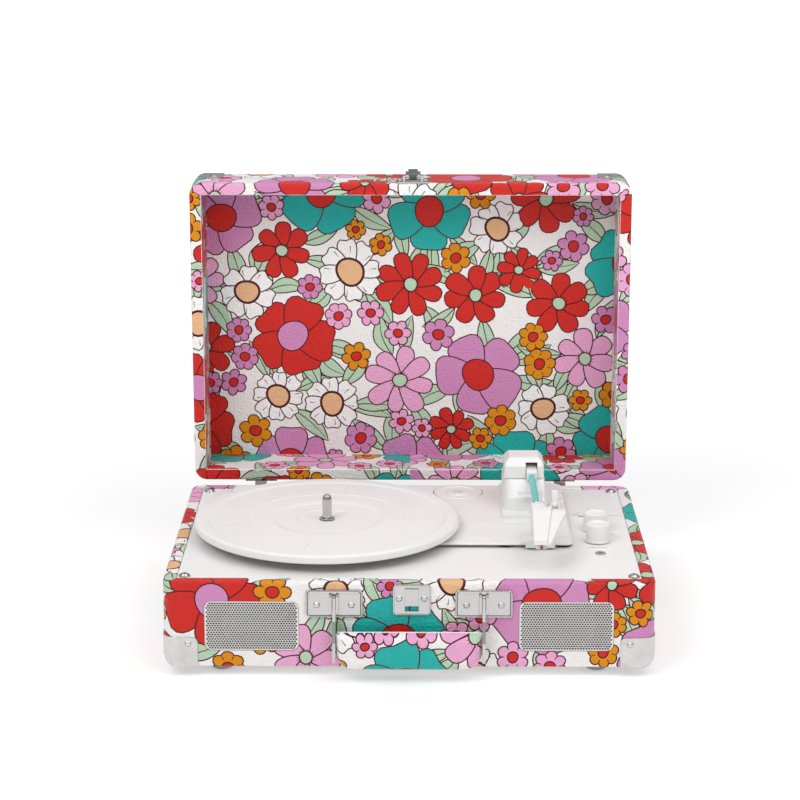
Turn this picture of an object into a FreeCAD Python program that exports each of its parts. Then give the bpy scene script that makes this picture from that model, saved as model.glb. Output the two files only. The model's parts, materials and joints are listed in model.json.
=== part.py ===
import FreeCAD, Part
import math
import os
import re
import Sketcher

# Suitcase record player, in millimetres.
# Frame: +X to the right, -Y to the front, +Z up. The origin is on the surface that the feet
# stand on, under the middle of the case. The lid is modelled open, standing straight up.

DIMENSIONS = {
    # case
    "case_length": 355.0,
    "case_depth": 247.0,
    "case_height": 64.0,
    "wall": 9.5,
    "floor_board": 6.0,
    "corner_round": 10.0,
    "foot_height": 8.0,
    "foot_radius": 8.75,
    "foot_inset_x": 41.0,
    "foot_inset_y": 19.0,
    "cap_sheet": 0.8,
    "cap_reach": 25.0,
    "cap_rise": 22.0,
    "cap_round": 4.0,
    # lid and hinges
    "lid_height": 49.0,
    "lid_panel": 3.5,
    "rim_gap": 0.5,
    "pin_behind": 8.7,
    "pin_below": 11.0,
    "hinge_place": 123.0,
    "hinge_width": 26.0,
    "hinge_pin_radius": 1.5,
    "knuckle_radius": 3.2,
    "leaf_sheet": 1.5,
    "running_gap": 0.05,
    # top plate
    "plate_sheet": 3.0,
    "plate_below_rim": 1.0,
    "plate_gap": 0.3,
    "screw_inset_x": 15.0,
    "screw_inset_y": 16.0,
    "screw_radius": 1.6,
    # deck
    "deck_left": -143.0,
    "deck_right": 122.5,
    "deck_front": -41.0,
    "deck_back": 110.0,
    "deck_mount_height": 2.4,
    "deck_sheet": 1.6,
    "deck_step": 0.5,
    "adapter_place_x": 38.5,
    "adapter_place_y": 89.0,
    "adapter_radius": 19.3,
    # platter and drive
    "platter_place_x": -63.0,
    "platter_place_y": -4.0,
    "platter_radius": 100.8,
    "platter_top": 85.2,
    "spindle_radius": 3.6,
    "spindle_top": 102.2,
    "rib_start": 64.0,
    "rib_length": 22.0,
    "pad_ring_radius": 75.0,
    "drive_ring_radius": 70.0,
    "motor_distance": 84.0,
    "motor_radius": 12.5,
    "motor_shaft_radius": 1.0,
    "pulley_radius": 4.0,
    "belt_sheet": 0.6,
    # tone arm
    "arm_post_x": 90.0,
    "arm_post_y": 63.5,
    "arm_line": 95.3,
    "arm_height": 102.0,
    "arm_tube_radius": 2.5,
    "arm_tube_length": 106.0,
    "collar_radius": 4.5,
    "arm_tube_front": -46.0,
    "yaw_post_radius": 4.0,
    "pitch_pin_radius": 1.4,
    "lift_rod_radius": 2.0,
    "lift_rod_x": 100.0,
    "lift_rod_y": 24.0,
    "cue_pivot_radius": 1.2,
    "cue_pivot_y": 37.0,
    "tower_top": 99.0,
    "tower_round": 11.0,
    "housing_top": 115.0,
    "rest_place_y": -31.5,
    # controls
    "knob_place_x": 142.3,
    "volume_place_y": -23.5,
    "function_place_y": 4.0,
    "knob_radius": 9.0,
    "knob_height": 14.5,
    "knob_shaft_radius": 3.0,
    "control_bush_radius": 4.5,
    "jack_place_y": -53.0,
    "jack_radius": 1.8,
    "slider_place_x": 133.7,
    "slider_place_y": 44.5,
    # speakers
    "grille_place": 113.4,
    "grille_middle": 38.5,
    "grille_width": 68.0,
    "grille_height": 37.0,
    "grille_sheet": 1.0,
    "speaker_radius": 23.5,
    # handle
    "bracket_place": 53.8,
    "bracket_middle": 56.0,
    "bracket_width": 41.0,
    "bracket_height": 20.5,
    "bracket_sheet": 1.2,
    "handle_pivot_out": 3.2,
    "handle_pivot_up": 61.0,
    "grip_length": 104.0,
    "grip_height": 27.5,
    "grip_bottom": 9.6,
    "grip_thickness": 16.0,
    # latch
    "latch_place": 2.0,
    "strike_width": 27.0,
    "strike_height": 23.0,
    "strike_middle": 59.0,
    "strike_sheet": 1.2,
    "hasp_out": 4.2,
    "hasp_from_rim": 5.0,
    "hasp_length": 28.0,
    "hasp_pin_radius": 1.0,
    "rivet_radius": 2.4,
    "rivet_hole": 1.2,
    "spring_coils": 5,
    "spring_pitch": 1.2,
    "spring_radius": 2.1,
    # rear sockets
    "rear_panel_place": 100.0,
    "rear_panel_width": 62.0,
    "rear_panel_height": 26.0,
    "socket_radius": 4.15,
    "inlet_radius": 2.75,
    "inlet_body_radius": 5.0,
    "inlet_pin_radius": 1.0,
}

doc = FreeCAD.newDocument("SuitcaseRecordPlayer")
dims = doc.addObject("Spreadsheet::Sheet", "Dims")
for row, (word, size) in enumerate(DIMENSIONS.items(), start=1):
    dims.set(f"A{row}", word)
    dims.set(f"B{row}", str(size))
    dims.setAlias(f"B{row}", word)
doc.recompute()

# heights and faces that several pieces share
BASE_TOP = "(foot_height + case_height)"
FLOOR_TOP = "(foot_height + floor_board)"
PLATE_TOP = f"({BASE_TOP} - plate_below_rim)"
PLATE_BOTTOM = f"({PLATE_TOP} - plate_sheet)"
DECK_BOTTOM = f"({PLATE_TOP} + deck_mount_height)"
DECK_TOP = f"({DECK_BOTTOM} + deck_sheet + 2 * deck_step)"
FRONT = "(-case_depth / 2)"
BACK = "(case_depth / 2)"
INNER_X = "(case_length / 2 - wall)"
INNER_Y = "(case_depth / 2 - wall)"
PIN_Y = f"({BACK} + pin_behind)"
PIN_Z = f"({BASE_TOP} - pin_below)"
LID_RIM = f"({PIN_Y} + pin_below + rim_gap)"
LID_BACK = f"({LID_RIM} + lid_height)"
LID_LOW = f"({PIN_Z} + pin_behind)"
LID_HIGH = f"({LID_LOW} + case_depth)"
HANDLE_Y = f"({FRONT} - handle_pivot_out)"
HASP_Y = f"({LID_RIM} + hasp_from_rim)"
HASP_Z = f"({LID_HIGH} + hasp_out)"
MOTOR_X = "(platter_place_x - motor_distance * 0.7071)"
MOTOR_Y = "(platter_place_y + motor_distance * 0.7071)"
ARM_PITCH_Z = "(arm_height + 1)"
CUE_PIVOT_Z = f"({DECK_TOP} + 5.4)"

SIDES = (-1, 1)
CORNERS = [(side, end) for side in SIDES for end in SIDES]
ALONG_X = FreeCAD.Rotation(FreeCAD.Vector(0, 1, 0), 90)
ALONG_Y = FreeCAD.Rotation(FreeCAD.Vector(1, 0, 0), -90)
UPRIGHT = FreeCAD.Rotation()

parts = {}
used_names = {}


def words(text):
    """The expression with each dimension's word read from the sheet."""
    return re.sub(r"[a-z][a-z_]*", lambda m: f"Dims.{m.group()}", str(text))


def number(text):
    """The expression's value in millimetres."""
    found = dims.evalExpression(words(text))
    return float(getattr(found, "Value", found))


def name_for(text):
    """A fresh internal name for a step on the way to a piece."""
    used_names[text] = used_names.get(text, 0) + 1
    return f"{text}_{used_names[text]}"


def place(thing, x, y, z, rotation=UPRIGHT):
    """Put an object at a place that follows the sheet."""
    thing.Placement = FreeCAD.Placement(FreeCAD.Vector(number(x), number(y), number(z)), rotation)
    for axis, text in zip("xyz", (x, y, z)):
        thing.setExpression(f"Placement.Base.{axis}", words(text))
    return thing


def box(x_range, y_range, z_range):
    """A block between two places on each axis."""
    block = doc.addObject("Part::Box", name_for("block"))
    for prop, (low, high) in zip(("Length", "Width", "Height"), (x_range, y_range, z_range)):
        block.setExpression(prop, words(f"({high}) - ({low})"))
    return place(block, x_range[0], y_range[0], z_range[0])


def rod(x, y, z, radius, length, rotation=UPRIGHT):
    """A round bar from a place, along the rotated Z axis."""
    bar = doc.addObject("Part::Cylinder", name_for("bar"))
    bar.setExpression("Radius", words(radius))
    bar.setExpression("Height", words(length))
    return place(bar, x, y, z, rotation)


def fuse(*things):
    joined = doc.addObject("Part::MultiFuse", name_for("joined"))
    joined.Shapes = list(things)
    joined.Refine = True
    return joined


def cut(base, *tools):
    left = doc.addObject("Part::Cut", name_for("cut"))
    left.Base = base
    left.Tool = tools[0] if len(tools) == 1 else group(*tools)
    left.Refine = True
    return left


def common(first, second):
    shared = doc.addObject("Part::Common", name_for("shared"))
    shared.Base = first
    shared.Tool = second
    return shared


def group(*things):
    together = doc.addObject("Part::Compound", name_for("group"))
    together.Links = list(things)
    return together


def soften(base, radius, wanted):
    """Round the edges that the test picks."""
    doc.recompute()
    size = number(radius)
    chosen = [(i, size, size) for i, edge in enumerate(base.Shape.Edges, start=1) if wanted(edge)]
    rounded = doc.addObject("Part::Fillet", name_for("rounded"))
    rounded.Base = base
    rounded.Edges = chosen
    return rounded


def finish(node, thing):
    """Name the object as a piece of the player."""
    thing.Label = node
    parts[node] = thing
    return thing


def new_sketch(body, role, offset):
    sketch = body.newObject("Sketcher::SketchObject", name_for("outline"))
    plane = next(f for f in body.Origin.OriginFeatures if f.Role == role)
    sketch.AttachmentSupport = [(plane, "")]
    sketch.MapMode = "FlatFace"
    sketch.setExpression("AttachmentOffset.Base.z", words(offset))
    return sketch


def closed_outline(sketch, points):
    """Straight lines through the points, each point held by two distances from the origin."""
    spots = [FreeCAD.Vector(number(u), number(v), 0) for u, v in points]
    for i, spot in enumerate(spots):
        sketch.addGeometry(Part.LineSegment(spot, spots[(i + 1) % len(spots)]), False)
    for i, (u, v) in enumerate(points):
        sketch.addConstraint(Sketcher.Constraint("Coincident", i, 2, (i + 1) % len(points), 1))
        for kind, text, value in (("DistanceX", u, spots[i].x), ("DistanceY", v, spots[i].y)):
            held = sketch.addConstraint(Sketcher.Constraint(kind, -1, 1, i, 1, value))
            sketch.setExpression(f"Constraints[{held}]", words(text))


def slab(points, role, start, thickness):
    """A body padded from an outline on one of its origin planes."""
    body = doc.addObject("PartDesign::Body", name_for("slab"))
    sketch = new_sketch(body, role, start)
    closed_outline(sketch, points)
    pad = body.newObject("PartDesign::Pad", name_for("pad"))
    pad.Profile = sketch
    pad.setExpression("Length", words(thickness))
    body.Tip = pad
    return body


def turned(points, x="0", y="0", z="0", rotation=UPRIGHT):
    """A body turned about its own Z axis from an outline of (radius, height) points."""
    body = doc.addObject("PartDesign::Body", name_for("turned"))
    sketch = new_sketch(body, "XZ_Plane", "0")
    closed_outline(sketch, points)
    revolution = body.newObject("PartDesign::Revolution", name_for("revolution"))
    revolution.Profile = sketch
    revolution.ReferenceAxis = (sketch, ["V_Axis"])
    revolution.Angle = 360
    body.Tip = revolution
    return place(body, x, y, z, rotation)


def round_body(body, radius, wanted):
    """Round edges of a body with a fillet feature."""
    doc.recompute()
    last = body.Tip
    names = [f"Edge{i}" for i, edge in enumerate(last.Shape.Edges, start=1) if wanted(edge)]
    fillet = body.newObject("PartDesign::Fillet", name_for("fillet"))
    fillet.Base = (last, names)
    fillet.setExpression("Radius", words(radius))
    body.Tip = fillet
    return body


def upright(edge):
    """True for a straight edge along Z."""
    line = edge.Vertexes[-1].Point - edge.Vertexes[0].Point
    return line.Length > 0.01 and abs(line.z) > 0.999 * line.Length


def rising(edge):
    """True for an edge whose ends are more than 5 mm apart in height."""
    return abs(edge.Vertexes[0].Z - edge.Vertexes[-1].Z) > 5


def along_depth(edge):
    """True for a straight edge along Y."""
    line = edge.Vertexes[-1].Point - edge.Vertexes[0].Point
    return line.Length > 0.01 and abs(line.y) > 0.999 * line.Length


def lies_on(edge, x=None, y=None, z=None):
    """True for an edge with both ends on the plane of the one coordinate given."""
    return all(
        (x is None or abs(end.X - x) < 0.01)
        and (y is None or abs(end.Y - y) < 0.01)
        and (z is None or abs(end.Z - z) < 0.01)
        for end in edge.Vertexes
    )


def circle_of(radius, height=None):
    """A test for a round edge of a radius, at a height if one is given."""
    def wanted(edge):
        curve = edge.Curve
        if not hasattr(curve, "Radius") or abs(curve.Radius - radius) > 0.01:
            return False
        return height is None or abs(curve.Center.z - height) < 0.01
    return wanted


def rectangle(u_low, u_high, v_low, v_high):
    return [(u_low, v_low), (u_high, v_low), (u_high, v_high), (u_low, v_high)]


def rounded_plate(x_middle, z_middle, width, height, radius, front_face, thickness):
    """A plate on the front wall with round corners; front_face is its outer side."""
    half_x = f"({width}) / 2"
    half_z = f"({height}) / 2"
    plate = box(
        (f"({x_middle}) - {half_x}", f"({x_middle}) + {half_x}"),
        (front_face, f"({front_face}) + ({thickness})"),
        (f"({z_middle}) - {half_z}", f"({z_middle}) + {half_z}"),
    )
    return soften(plate, radius, along_depth)


# ---------------------------------------------------------------- case and lid

def shell_block(x_half, y_range, z_range, far, grow):
    """A case block, round at its four long corners and along both ends of its far panel.

    far is "down" for the case, whose far panel is its floor, and "back" for the open lid.
    """
    wide = f"({x_half} + {grow})"
    y_low, y_high = (f"({y_range[0]} - {grow})", f"({y_range[1]} + {grow})")
    z_low, z_high = (f"({z_range[0]} - {grow})", f"({z_range[1]} + {grow})")
    if far == "down":
        y_pair, z_pair = (y_low, y_high), (z_low, z_range[1])
    else:
        y_pair, z_pair = (y_range[0], y_high), (z_low, z_high)
    plan = box((f"-{wide}", wide), y_pair, z_pair)
    front = box((f"-{wide}", wide), y_pair, z_pair)
    radius = f"corner_round + {grow}"
    far_z = number(z_pair[0])
    far_y = number(y_pair[1])
    if far == "down":
        plan = soften(plan, radius, upright)
        front = soften(front, radius, lambda e: along_depth(e) and abs(e.Vertexes[0].Z - far_z) < 0.01)
    else:
        front = soften(front, radius, along_depth)
        plan = soften(plan, radius, lambda e: upright(e) and abs(e.Vertexes[0].Y - far_y) < 0.01)
    return common(plan, front)


CASE_RANGES = ("case_length / 2", (FRONT, BACK), ("foot_height", BASE_TOP), "down")
LID_RANGES = ("case_length / 2", (LID_RIM, LID_BACK), (LID_LOW, LID_HIGH), "back")


def rivet(x, y, z, rotation):
    """A domed rivet whose head stands out along the rotated -Z axis."""
    outline = [
        ("0", "-0.9"), ("1.5", "-0.75"), ("rivet_radius", "0"), ("rivet_hole", "0"),
        ("rivet_hole", "5"), ("0", "5"),
    ]
    return turned(outline, x, y, z, rotation)


def bracket_rivet_places():
    return [(f"{side} * bracket_place + {end} * 12.5", "bracket_middle - 1") for side, end in CORNERS]


def strike_rivet_places():
    return [(f"latch_place + {side} * 9", "strike_middle + 1") for side in SIDES]


def cap_rivet_places():
    return [(f"{side} * (case_length / 2 - 18)", "foot_height + 17") for side in SIDES]


def front_rivets(places, face):
    return [rivet(x, face, z, ALONG_Y) for x, z in places]


def rivet_holes(places):
    """Tools for the rivet holes in the front wall and what is fixed to it."""
    return [rod(x, f"{FRONT} - 8", z, "rivet_hole", "14", ALONG_Y) for x, z in places]


def lid_rivet_holes(places):
    """Tools for the rivet holes in the lid's top wall and what is fixed to it."""
    return [rod(x, y, f"{LID_HIGH} - 6", "rivet_hole", "10") for x, y in places]


def case_shell():
    outer = shell_block(*CASE_RANGES, "0")
    hollow = box((f"-{INNER_X}", INNER_X), (f"-{INNER_Y}", INNER_Y), (FLOOR_TOP, f"{BASE_TOP} + 1"))
    tools = [hollow]
    for side in SIDES:
        middle = f"{side} * grille_place"
        tools.append(rounded_plate(
            middle, "grille_middle", "grille_width + 0.4", "grille_height + 0.4", "5",
            FRONT, "grille_sheet + 0.3",
        ))
        opening = "speaker_radius - 3"
        tools.append(rod(middle, f"{FRONT} - 1", "grille_middle", opening, "wall + 2", ALONG_Y))
    tools.append(box(
        ("rear_panel_place - rear_panel_width / 2", "rear_panel_place + rear_panel_width / 2"),
        (f"{INNER_Y} - 1", f"{BACK} + 1"),
        ("grille_middle - rear_panel_height / 2", "grille_middle + rear_panel_height / 2"),
    ))
    tools += rivet_holes(bracket_rivet_places() + strike_rivet_places() + cap_rivet_places())
    finish("base_case", cut(outer, *tools))


def corner_blocks():
    """Wooden blocks that carry the top plate and take its screws."""
    blocks = []
    for side, end in CORNERS:
        x_far, x_near = f"{side} * {INNER_X}", f"{side} * ({INNER_X} - 16)"
        y_far, y_near = f"{end} * {INNER_Y}", f"{end} * ({INNER_Y} - 16)"
        x_range = (x_near, x_far) if side > 0 else (x_far, x_near)
        y_range = (y_near, y_far) if end > 0 else (y_far, y_near)
        block = box(x_range, y_range, (FLOOR_TOP, PLATE_BOTTOM))
        hole = rod(*plate_screw_place(side, end), f"{PLATE_TOP} - 15", "screw_radius", "20")
        blocks.append(cut(block, hole))
    finish("corner_blocks", group(*blocks))


def plate_screw_place(side, end):
    x = f"{side} * (case_length / 2 - screw_inset_x)"
    y = f"{end} * (case_depth / 2 - screw_inset_y)"
    return x, y


def feet():
    outline = [
        ("0", "0"), ("foot_radius * 0.55", "0"), ("foot_radius * 0.85", "1.2"),
        ("foot_radius", "3.6"), ("foot_radius", "foot_height"), ("0", "foot_height"),
    ]
    found = []
    for side, end in CORNERS:
        x = f"{side} * (case_length / 2 - foot_inset_x)"
        y = f"{end} * (case_depth / 2 - foot_inset_y)"
        found.append(turned(outline, x, y))
    finish("feet", group(*found))


def corner_caps(node, ranges, corner_boxes, holes):
    """Pressed metal corners that wrap the shell."""
    skin = cut(shell_block(*ranges, "cap_sheet"), shell_block(*ranges, "0"))
    caps = common(skin, group(*corner_boxes))
    finish(node, cut(caps, *holes))


def case_corner_caps():
    boxes = []
    reach_x = "(case_length / 2 - cap_reach)"
    reach_y = "(case_depth / 2 - cap_reach)"
    far_x = "(case_length / 2 + 5)"
    far_y = "(case_depth / 2 + 5)"
    for side, end in CORNERS:
        x_range = (reach_x, far_x) if side > 0 else (f"-{far_x}", f"-{reach_x}")
        y_range = (reach_y, far_y) if end > 0 else (f"-{far_y}", f"-{reach_y}")
        block = box(x_range, y_range, ("foot_height - 5", "foot_height + cap_rise"))
        near_x, near_y = side * number(reach_x), end * number(reach_y)
        top = number("foot_height + cap_rise")
        boxes.append(soften(block, "cap_round", lambda edge: lies_on(edge, z=top) and (
            lies_on(edge, x=near_x) or lies_on(edge, y=near_y))))
    corner_caps("case_corner_caps", CASE_RANGES, boxes, rivet_holes(cap_rivet_places()))


def lid_corner_caps():
    boxes = []
    reach_x = "(case_length / 2 - cap_reach)"
    far_x = "(case_length / 2 + 5)"
    for side in SIDES:
        x_range = (reach_x, far_x) if side > 0 else (f"-{far_x}", f"-{reach_x}")
        for far_z, reach_z in (
            (f"{LID_LOW} - 5", f"{LID_LOW} + cap_reach"),
            (f"{LID_HIGH} + 5", f"{LID_HIGH} - cap_reach"),
        ):
            z_range = sorted((far_z, reach_z), key=number)
            block = box(x_range, (f"{LID_BACK} - cap_rise", f"{LID_BACK} + 5"), z_range)
            near_x, near_y = side * number(reach_x), number(f"{LID_BACK} - cap_rise")
            near_z = number(reach_z)
            boxes.append(soften(block, "cap_round", lambda edge: lies_on(edge, y=near_y) and (
                lies_on(edge, x=near_x) or lies_on(edge, z=near_z))))
    corner_caps("lid_corner_caps", LID_RANGES, boxes, lid_rivet_holes(lid_cap_rivet_places()))


def lid_cap_rivet_places():
    return [(f"{side} * (case_length / 2 - 18)", f"{LID_BACK} - 17") for side in SIDES]


def latch_rivet_places():
    return [(f"latch_place + {side} * 10", f"{LID_RIM} + 12") for side in SIDES]


def lid_shell():
    outer = shell_block(*LID_RANGES, "0")
    hollow = box(
        (f"-{INNER_X}", INNER_X), (f"{LID_RIM} - 1", f"{LID_BACK} - lid_panel"),
        (f"{LID_LOW} + wall", f"{LID_HIGH} - wall"),
    )
    holes = lid_rivet_holes(lid_cap_rivet_places() + latch_rivet_places())
    finish("lid_shell", cut(outer, hollow, *holes))


def rivets():
    on_brackets = front_rivets(bracket_rivet_places(), f"{FRONT} - bracket_sheet")
    on_strike = front_rivets(strike_rivet_places(), f"{FRONT} - strike_sheet")
    on_caps = front_rivets(cap_rivet_places(), f"{FRONT} - cap_sheet")
    finish("case_rivets", group(*on_brackets, *on_strike, *on_caps))
    turned_over = FreeCAD.Rotation(FreeCAD.Vector(1, 0, 0), 180)
    caps = [rivet(x, y, f"{LID_HIGH} + cap_sheet", turned_over) for x, y in lid_cap_rivet_places()]
    latch = [rivet(x, y, f"{LID_HIGH} + strike_sheet", turned_over) for x, y in latch_rivet_places()]
    finish("lid_rivets", group(*caps, *latch))


# ---------------------------------------------------------------- hinges

def hinge_knuckle(x_low, x_high):
    return rod(x_low, PIN_Y, PIN_Z, "knuckle_radius", f"({x_high}) - ({x_low})", ALONG_X)


def arm_slab(points, x_low, x_high):
    """A sheet arm in the YZ plane, given as steps from the hinge pin."""
    outline = [(f"{PIN_Y} + {dy}", f"{PIN_Z} + {dz}") for dy, dz in points]
    return slab(outline, "YZ_Plane", x_low, f"({x_high}) - ({x_low})")


def hinges():
    case_leaves, lid_leaves, pins = [], [], []
    half = "hinge_width / 2"
    case_arm = [("(-8)", "(-6)"), ("(-7.2)", "(-7.5)"), ("1", "(-3)"), ("(-1.5)", "2.2")]
    lid_arm = [("(-1.6)", "2.7"), ("2.6", "(-1.2)"), ("16", "7.2"), ("16", "8.7"), ("10", "8.7")]
    for side in SIDES:
        middle = f"{side} * hinge_place"
        whole = (f"{middle} - {half}", f"{middle} + {half}")
        case_leaf = box(whole, (BACK, f"{BACK} + leaf_sheet"), (f"{PIN_Z} - 16", f"{PIN_Z} + 5"))
        pieces = [case_leaf]
        left_knuckle = (f"{middle} - {half}", f"{middle} - 5")
        right_knuckle = (f"{middle} + 5", f"{middle} + {half}")
        for low, high in (left_knuckle, right_knuckle):
            pieces.append(hinge_knuckle(low, high))
            pieces.append(arm_slab(case_arm, low, high))
        bore = rod(f"{middle} - 20", PIN_Y, PIN_Z, "hinge_pin_radius", "40", ALONG_X)
        case_leaves.append(cut(fuse(*pieces), bore))
        lid_leaf = box(whole, (f"{LID_RIM} + 3", f"{LID_RIM} + 24"), (f"{LID_LOW} - leaf_sheet", LID_LOW))
        low, high = f"{middle} - 4.7", f"{middle} + 4.7"
        lid_bore = rod(f"{middle} - 20", PIN_Y, PIN_Z, "hinge_pin_radius + running_gap", "40", ALONG_X)
        lid_pieces = fuse(lid_leaf, hinge_knuckle(low, high), arm_slab(lid_arm, low, high))
        lid_leaves.append(cut(lid_pieces, lid_bore))
        start = f"{middle} - {half} - 0.6"
        pins.append(rod(start, PIN_Y, PIN_Z, "hinge_pin_radius", "hinge_width + 1.2", ALONG_X))
    finish("hinge_case_leaves", group(*case_leaves))
    finish("hinge_lid_leaves", group(*lid_leaves))
    finish("hinge_pins", group(*pins))


# ---------------------------------------------------------------- top plate and deck

def top_plate():
    edge_x = f"({INNER_X} - plate_gap)"
    edge_y = f"({INNER_Y} - plate_gap)"
    outline = rectangle(f"-{edge_x}", edge_x, f"-{edge_y}", edge_y)
    sheet = slab(outline, "XY_Plane", PLATE_BOTTOM, "plate_sheet")
    sheet = round_body(sheet, "2", upright)
    tools = [box(
        ("deck_left + 16", "deck_right - 16"), ("deck_front + 22", "deck_back - 6"),
        (f"{PLATE_BOTTOM} - 1", f"{PLATE_TOP} + 1"),
    )]
    holes = [
        (MOTOR_X, MOTOR_Y, "14"),
        ("adapter_place_x", "adapter_place_y", "adapter_radius + 2.4"),
        ("knob_place_x", "volume_place_y", "control_bush_radius"),
        ("knob_place_x", "function_place_y", "control_bush_radius"),
        ("knob_place_x", "jack_place_y", "3.2"),
    ]
    for side, end in CORNERS:
        holes.append((*plate_screw_place(side, end), "screw_radius + 0.2"))
    for x, y, radius in holes:
        tools.append(rod(x, y, f"{PLATE_BOTTOM} - 1", radius, "plate_sheet + 2"))
    tools.append(box(
        ("slider_place_x - 1.6", "slider_place_x + 1.6"), ("slider_place_y - 6", "slider_place_y + 11"),
        (f"{PLATE_BOTTOM} - 1", f"{PLATE_TOP} + 1"),
    ))
    finish("plinth_plate", cut(sheet, *tools))


def plate_fasteners():
    washer = [
        ("screw_radius + 0.1", "0"), ("4.4", "0"), ("3.9", "1.1"), ("3.5", "1.2"),
        ("3.1", "0.5"), ("screw_radius + 0.1", "0.5"),
    ]
    screw = [
        ("0", "-13"), ("screw_radius", "-13"), ("screw_radius", "0.5"), ("3.0", "0.5"),
        ("3.2", "1.1"), ("2.4", "2.0"), ("0", "2.3"),
    ]
    washers, screws = [], []
    for side, end in CORNERS:
        x, y = plate_screw_place(side, end)
        washers.append(turned(washer, x, y, PLATE_TOP))
        slots = [
            box(
                (f"{x} - {half_x}", f"{x} + {half_x}"), (f"{y} - {half_y}", f"{y} + {half_y}"),
                (f"{PLATE_TOP} + 1", f"{PLATE_TOP} + 3"),
            )
            for half_x, half_y in (("1.7", "0.4"), ("0.4", "1.7"))
        ]
        screws.append(cut(turned(screw, x, y, PLATE_TOP), *slots))
    finish("cup_washers", group(*washers))
    finish("plinth_screws", group(*screws))


def deck():
    lowest = rectangle("deck_left", "deck_right", "deck_front", "deck_back")
    middle = rectangle("deck_left + 1.5", "deck_right - 1.5", "deck_front + 14", "deck_back - 1.5")
    upper = rectangle("deck_left + 1.5", "deck_right - 1.5", "deck_front + 46", "deck_back - 1.5")
    level = f"({DECK_BOTTOM} + deck_sheet)"
    top_face = number(level)
    lower_sheet = round_body(slab(lowest, "XY_Plane", DECK_BOTTOM, "deck_sheet"), "5", upright)
    lower_sheet = round_body(
        lower_sheet, "1", lambda edge: all(abs(end.Z - top_face) < 0.01 for end in edge.Vertexes),
    )
    middle_sheet = round_body(slab(middle, "XY_Plane", level, "deck_step"), "4", upright)
    upper_sheet = round_body(slab(upper, "XY_Plane", f"({level} + deck_step)", "deck_step"), "4", upright)
    cup = rod("adapter_place_x", "adapter_place_y", f"{DECK_BOTTOM} - 3.4", "adapter_radius + 1.4", "5.5")
    tools = [
        rod("adapter_place_x", "adapter_place_y", f"{DECK_BOTTOM} - 1.9", "adapter_radius + 0.7", "10"),
        rod("platter_place_x", "platter_place_y", f"{DECK_BOTTOM} - 5", "spindle_radius", "20"),
        rod(MOTOR_X, MOTOR_Y, f"{DECK_BOTTOM} - 5", "2.5", "20"),
        rod("lift_rod_x", "lift_rod_y", f"{DECK_BOTTOM} - 5", "lift_rod_radius + running_gap", "20"),
    ]
    finish("deck_chassis", cut(fuse(lower_sheet, middle_sheet, upper_sheet, cup), *tools))


def deck_mounts():
    outline = [
        ("0", "0"), ("6.4", "0"), ("7", "0.6"), ("7", "deck_mount_height - 0.6"),
        ("6.4", "deck_mount_height"), ("0", "deck_mount_height"),
    ]
    places = [
        ("deck_left + 8", "deck_front + 9"), ("72", "deck_front + 9"), ("deck_right - 7", "deck_front + 9"),
        ("deck_left + 8", "deck_back - 9"), ("deck_right - 8", "deck_back - 9"),
    ]
    finish("deck_mounts", group(*[turned(outline, x, y, PLATE_TOP) for x, y in places]))


def spindle_set():
    groove = "(platter_top - 2.6)"
    bar = turned([
        ("0", "spindle_top - 43"), ("spindle_radius", "spindle_top - 43"), ("spindle_radius", groove),
        ("spindle_radius - 0.3", groove), ("spindle_radius - 0.3", f"{groove} + 0.8"),
        ("spindle_radius", f"{groove} + 0.8"), ("spindle_radius", "spindle_top - 3.8"),
        ("2.9", "spindle_top - 1.6"), ("1.6", "spindle_top - 0.4"), ("0", "spindle_top"),
    ], "platter_place_x", "platter_place_y")
    finish("spindle", bar)
    ring = turned([
        ("spindle_radius - 0.3", "0"), ("5.6", "0"), ("5.6", "0.8"), ("spindle_radius - 0.3", "0.8"),
    ], "platter_place_x", "platter_place_y", groove)
    mouth = box(
        ("platter_place_x - 1.8", "platter_place_x + 1.8"), ("platter_place_y - 8", "platter_place_y"),
        ("platter_top - 3", "platter_top"),
    )
    finish("spindle_clip", cut(ring, mouth))


def on_platter(distance, degrees):
    """The place at a distance from the spindle, in a direction counted from +X."""
    angle = math.radians(degrees)
    x = f"platter_place_x + {distance} * {math.cos(angle):.6f}"
    y = f"platter_place_y + {distance} * {math.sin(angle):.6f}"
    return x, y


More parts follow.
